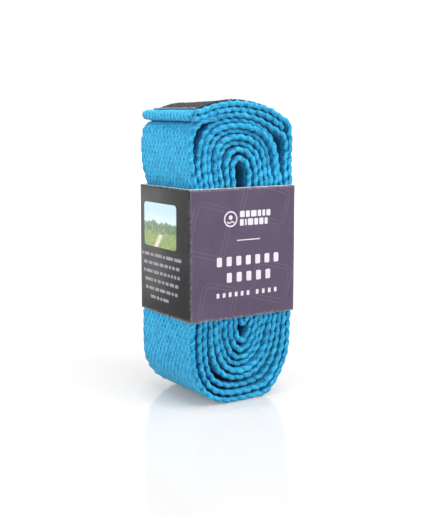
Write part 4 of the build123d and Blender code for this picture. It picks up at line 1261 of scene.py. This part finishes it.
F_OUT, L_OUT = (0, -1, 0), (-1, 0, 0)
front = []
# round emblem: a ring with a small sun over a wave
t = np.linspace(0, 2 * math.pi, 40, endpoint=False)
front.append(("line", np.stack([17.8 + 2.75 * np.cos(t), 38.15 + 2.75 * np.sin(t)], -1), 0.55, True))
front.append(("fill", np.stack([17.8 + 0.85 * np.cos(t), 38.75 + 0.85 * np.sin(t)], -1)))
w = np.linspace(-1.7, 1.7, 14)
front.append(("line", np.stack([17.8 + w, 36.9 + 0.3 * np.sin(w * 2.6)], -1), 0.45, False))
# two short lines beside the emblem
for row, z0, z1, x in ((0, 38.6, 41.0, 22.0), (1, 35.4, 37.9, 22.0)):
    for wd in ((2.6, 2.2, 3.0, 2.0, 1.8, 2.3) if row == 0 else (2.2, 1.2, 2.9, 2.2, 2.4, 1.9)):
        front.append(rr(x, z0, x + wd - 0.45, z1, 0.35))
        x += wd + (0.15 if row == 0 else 0.12)
front.append(("line", np.stack([np.linspace(20.7, 31.4, 16), np.full(16, 29.9)], -1), 0.40, False))
for i in range(7):
    x = 11.3 + 4.4 * i
    front.append(rr(x + 0.3, 20.3, x + 2.6, 23.9, 0.5))
for i in range(5):
    x = 15.8 + 4.5 * i
    front.append(rr(x + 0.3, 14.0, x + 2.6, 17.7, 0.5))
x = 11.3
for i in range(6):
    front.append(rr(x + 0.2, 8.4, x + 1.45, 10.2, 0.25))
    x += 2.75
x = 29.4
for i in range(4):
    front.append(rr(x + 0.2, 8.4, x + 1.45, 10.2, 0.25))
    x += 2.9
print_object("front_print_blocks", front, front3d, F_OUT, mat_print)

# pale double outlines of large slanted rounded shapes
def slab(cx, cz, w_, h_, r, ang):
    P = round_rect(-w_ / 2, -h_ / 2, w_ / 2, h_ / 2, r, 7)
    n_ = []
    for i in range(len(P)):
        a_, b_ = P[i], P[(i + 1) % len(P)]
        k_ = max(1, int(np.hypot(*(b_ - a_)) / 0.8))
        for f_ in range(k_):
            n_.append(a_ + (b_ - a_) * f_ / k_)
    P = np.array(n_)
    c_, s_ = math.cos(math.radians(ang)), math.sin(math.radians(ang))
    return np.stack([cx + P[:, 0] * c_ - P[:, 1] * s_, cz + P[:, 0] * s_ + P[:, 1] * c_], -1)


def clip_runs(P, x0, x1, z0, z1):
    """The runs of a closed outline that lie inside the panel."""
    ok = (P[:, 0] > x0) & (P[:, 0] < x1) & (P[:, 1] > z0) & (P[:, 1] < z1)
    if ok.all():
        return [(P, True)]
    if not ok.any():
        return []
    start = int(np.argmin(ok))
    P, ok = np.roll(P, -start, 0), np.roll(ok, -start)
    runs, cur = [], []
    for p, o in zip(P, ok):
        if o:
            cur.append(p)
        elif cur:
            runs.append(cur)
            cur = []
    if cur:
        runs.append(cur)
    return [(np.array(r), False) for r in runs if len(r) > 3]


lines = []
for cx, cz, w_, h_, r_, ang in [(8.5, 34.0, 17.0, 20.0, 3.5, -14), (37.0, 12.5, 18.0, 15.0, 3.5, -14), (34.0, 43.5, 22.0, 14.0, 3.5, -14), (12.0, 6.0, 16.0, 15.0, 3.5, -14)]:
    for grow in (0.0, -1.5):
        P = slab(cx, cz, w_ + 2 * grow, h_ + 2 * grow, max(r_ + grow, 0.6), ang)
        for run, closed in clip_runs(P, 0.7, 47.6, 0.6, 49.3):
            lines.append(("line", run, 0.18, closed))
print_object("front_print_outlines", lines, front3d, F_OUT, mat_outline, 0.012)

# left panel: a small picture and six lines of small blocks
def picture():
    P = round_rect(9.7, 26.1, 34.7, 43.3, 1.6, 6)
    # grid clipped to the rounded outline, so that the picture's surface has its own points
    ny, nz = 44, 30
    a = np.linspace(9.7, 34.7, ny)
    b = np.linspace(26.1, 43.3, nz)
    A, B = np.meshgrid(a, b)
    r = 1.6
    cx = np.clip(A, 9.7 + r, 34.7 - r)
    cz = np.clip(B, 26.1 + r, 43.3 - r)
    d = np.hypot(A - cx, B - cz)
    f = np.where(d > r, r / np.maximum(d, 1e-9), 1.0)
    A2, B2 = cx + (A - cx) * f, cz + (B - cz) * f
    V = left3d(np.stack([A2.ravel(), B2.ravel()], -1))
    V[:, 0] -= INK
    i = np.arange(nz - 1)[:, None] * ny
    j = np.arange(ny - 1)[None]
    q = np.stack([i + j, i + ny + j, i + ny + j + 1, i + j + 1], -1).reshape(-1, 4)
    n = len(V)
    back = V.copy()
    back[:, 0] += INK * 1.6
    rim = np.r_[np.arange(ny), np.arange(1, nz) * ny + ny - 1,
                (nz - 1) * ny + np.arange(ny - 2, -1, -1), np.arange(nz - 2, 0, -1) * ny]
    a_, b_ = rim, np.roll(rim, -1)
    q3 = np.stack([a_, b_, b_ + n, a_ + n], -1)
    V = card_warp(np.vstack([V, back]))
    ob = mesh("side_print_picture", V, [q, q[:, ::-1] + n, q3], False)
    # seen from outside, the panel's left is its back end
    uu = (34.7 - A2.ravel()) / 17.2
    vv = (B2.ravel() - 26.1) / 17.2
    attr(ob, "weave_u", np.r_[uu, uu])
    attr(ob, "weave_v", np.r_[vv, vv])
    ob.data.materials.append(mat_pic)
    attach(ob, "sleeve")


picture()
side = []
wr = np.random.default_rng(5)
for i, (ya, yb) in enumerate(((37.0, 6.2), (35.4, 7.6), (35.6, 7.4), (34.4, 8.4), (34.0, 9.0), (30.0, 15.8))):
    z = 22.7 - 3.36 * i
    x = yb
    while x < ya - 1.2:
        wd = float(wr.choice([1.6, 2.4, 3.1, 4.0, 5.2, 2.0]))
        wd = min(wd, ya - x)
        if ya - (x + wd + 0.8) < 1.2:
            wd = ya - x
        side.append(rr(x, z - 0.62, x + wd, z + 0.62, 0.3))
        x += wd + 0.85
print_object("side_print_lines", side, left3d, L_OUT, mat_grey)

# ---------------------------------------------------------------------------
# floor, lights, camera
# ---------------------------------------------------------------------------


def grid(name, xs, prof, material):
    V = np.array([(x_, p_[0], p_[1]) for p_ in prof for x_ in xs])
    ny = len(xs)
    i = np.arange(len(prof) - 1)[:, None] * ny
    j = np.arange(ny - 1)[None]
    q = np.stack([i + j, i + j + 1, i + ny + j + 1, i + ny + j], -1).reshape(-1, 4)
    ob = mesh(name, V, [q])
    ob.data.materials.append(material)
    return ob


def floor_and_backdrop():
    """A pale glossy floor that glows with painted light and painted shade, and a plain bright backdrop far behind."""
    M = Mat("floor_white_painted_glow")
    n_ = M.noise(M.coords(), 6.0, 2.0)
    M.color(M.ramp(n_, [(0.3, srgb(*FLOOR[0])), (0.7, srgb(*FLOOR[1]))]))
    M.rough(FLOOR_ROUGH)
    M.set(Specular_IOR_Level=FLOOR_SPEC)
    # painted light and painted shade: the floor glows by emission, weakest right under the object (a painted contact
    # shadow) and stronger further out
    P = M.sep(M.coords())
    far = M.math("SQRT", M.math("ADD", M.math("POWER", P[0], 2.0), M.math("POWER", P[1], 2.0)))
    M.b.inputs["Emission Color"].default_value = (1.0, 1.0, 1.0, 1.0)
    near = M.range(far, 0.012, 0.033, 0.16, 0.35)
    M.link(M.math("ADD", near, M.range(far, 0.14, 0.75, 0.0, 0.65)), M.b.inputs["Emission Strength"])
    grid("studio_floor", np.linspace(-3000, 4200, 30), [(-2500 + 250 * i, -0.12) for i in range(28)], M.m)
    B = Mat("backdrop_white")
    B.set(Emission_Strength=BACKDROP)
    B.b.inputs["Base Color"].default_value = (0.0, 0.0, 0.0, 1.0)
    B.b.inputs["Emission Color"].default_value = (1.0, 1.0, 1.0, 1.0)
    B.rough(1.0)
    B.set(Specular_IOR_Level=0.0)
    back = grid("studio_backdrop", np.linspace(-3000, 3000, 20), [(2800, -1 + 250 * i) for i in range(14)], B.m)
    back.rotation_euler = (0, 0, math.radians(-32.94))


FLOOR = ((160, 159, 158), (164, 163, 162))
FLOOR_ROUGH, FLOOR_SPEC = 0.12, 0.44
BACKDROP = 1.02
floor_and_backdrop()


def area(name, loc, target, size, power, size_y=None, color=(1, 1, 1)):
    d = bpy.data.lights.new(name, "AREA")
    d.energy = power
    d.size = size
    d.color = color
    if size_y:
        d.shape = "RECTANGLE"
        d.size_y = size_y
    o = bpy.data.objects.new(name, d)
    o.location = loc
    o.rotation_euler = (Vector(target) - Vector(loc)).to_track_quat("-Z", "Y").to_euler()
    bpy.context.scene.collection.objects.link(o)
    return o


WORLD = 0.36
area("key_top", (0.05, -0.30, 1.00), (0, 0, 0.05), 0.9, 10.5, 0.7)
area("soft_back_left", (-0.95, 0.30, 0.55), (0, 0, 0.06), 0.8, 9.0, 0.7)
area("side_card", (-0.086, 0.142, 0.052), (-0.024, 0.010, 0.055), 0.034, 0.017, 0.080)
area("soft_front", (0.35, -0.85, 0.75), (0, 0, 0.06), 0.8, 9.1, 0.6)

world = bpy.data.worlds.new("studio_world")
bpy.context.scene.world = world
world.use_nodes = True
bg = world.node_tree.nodes.get("Background") or world.node_tree.nodes.new("ShaderNodeBackground")
bg.inputs[0].default_value = (1.0, 1.0, 1.0, 1.0)
bg.inputs[1].default_value = WORLD

cam_data = bpy.data.cameras.new("camera")
cam = bpy.data.objects.new("camera", cam_data)
cam.location = (-0.198895, -0.308362, 0.110500)
cam.rotation_euler = (math.radians(90 - 8.631), 0, math.radians(-32.94))
cam_data.lens = 63.81
cam_data.sensor_width = 36.0
cam_data.sensor_fit = "AUTO"
cam_data.clip_start = 0.01
cam_data.shift_y = 0.0012
cam_data.dof.use_dof = False
bpy.context.scene.collection.objects.link(cam)
bpy.context.scene.camera = cam
bpy.context.scene.view_settings.view_transform = "Standard"
bpy.context.scene.view_settings.look = "None"
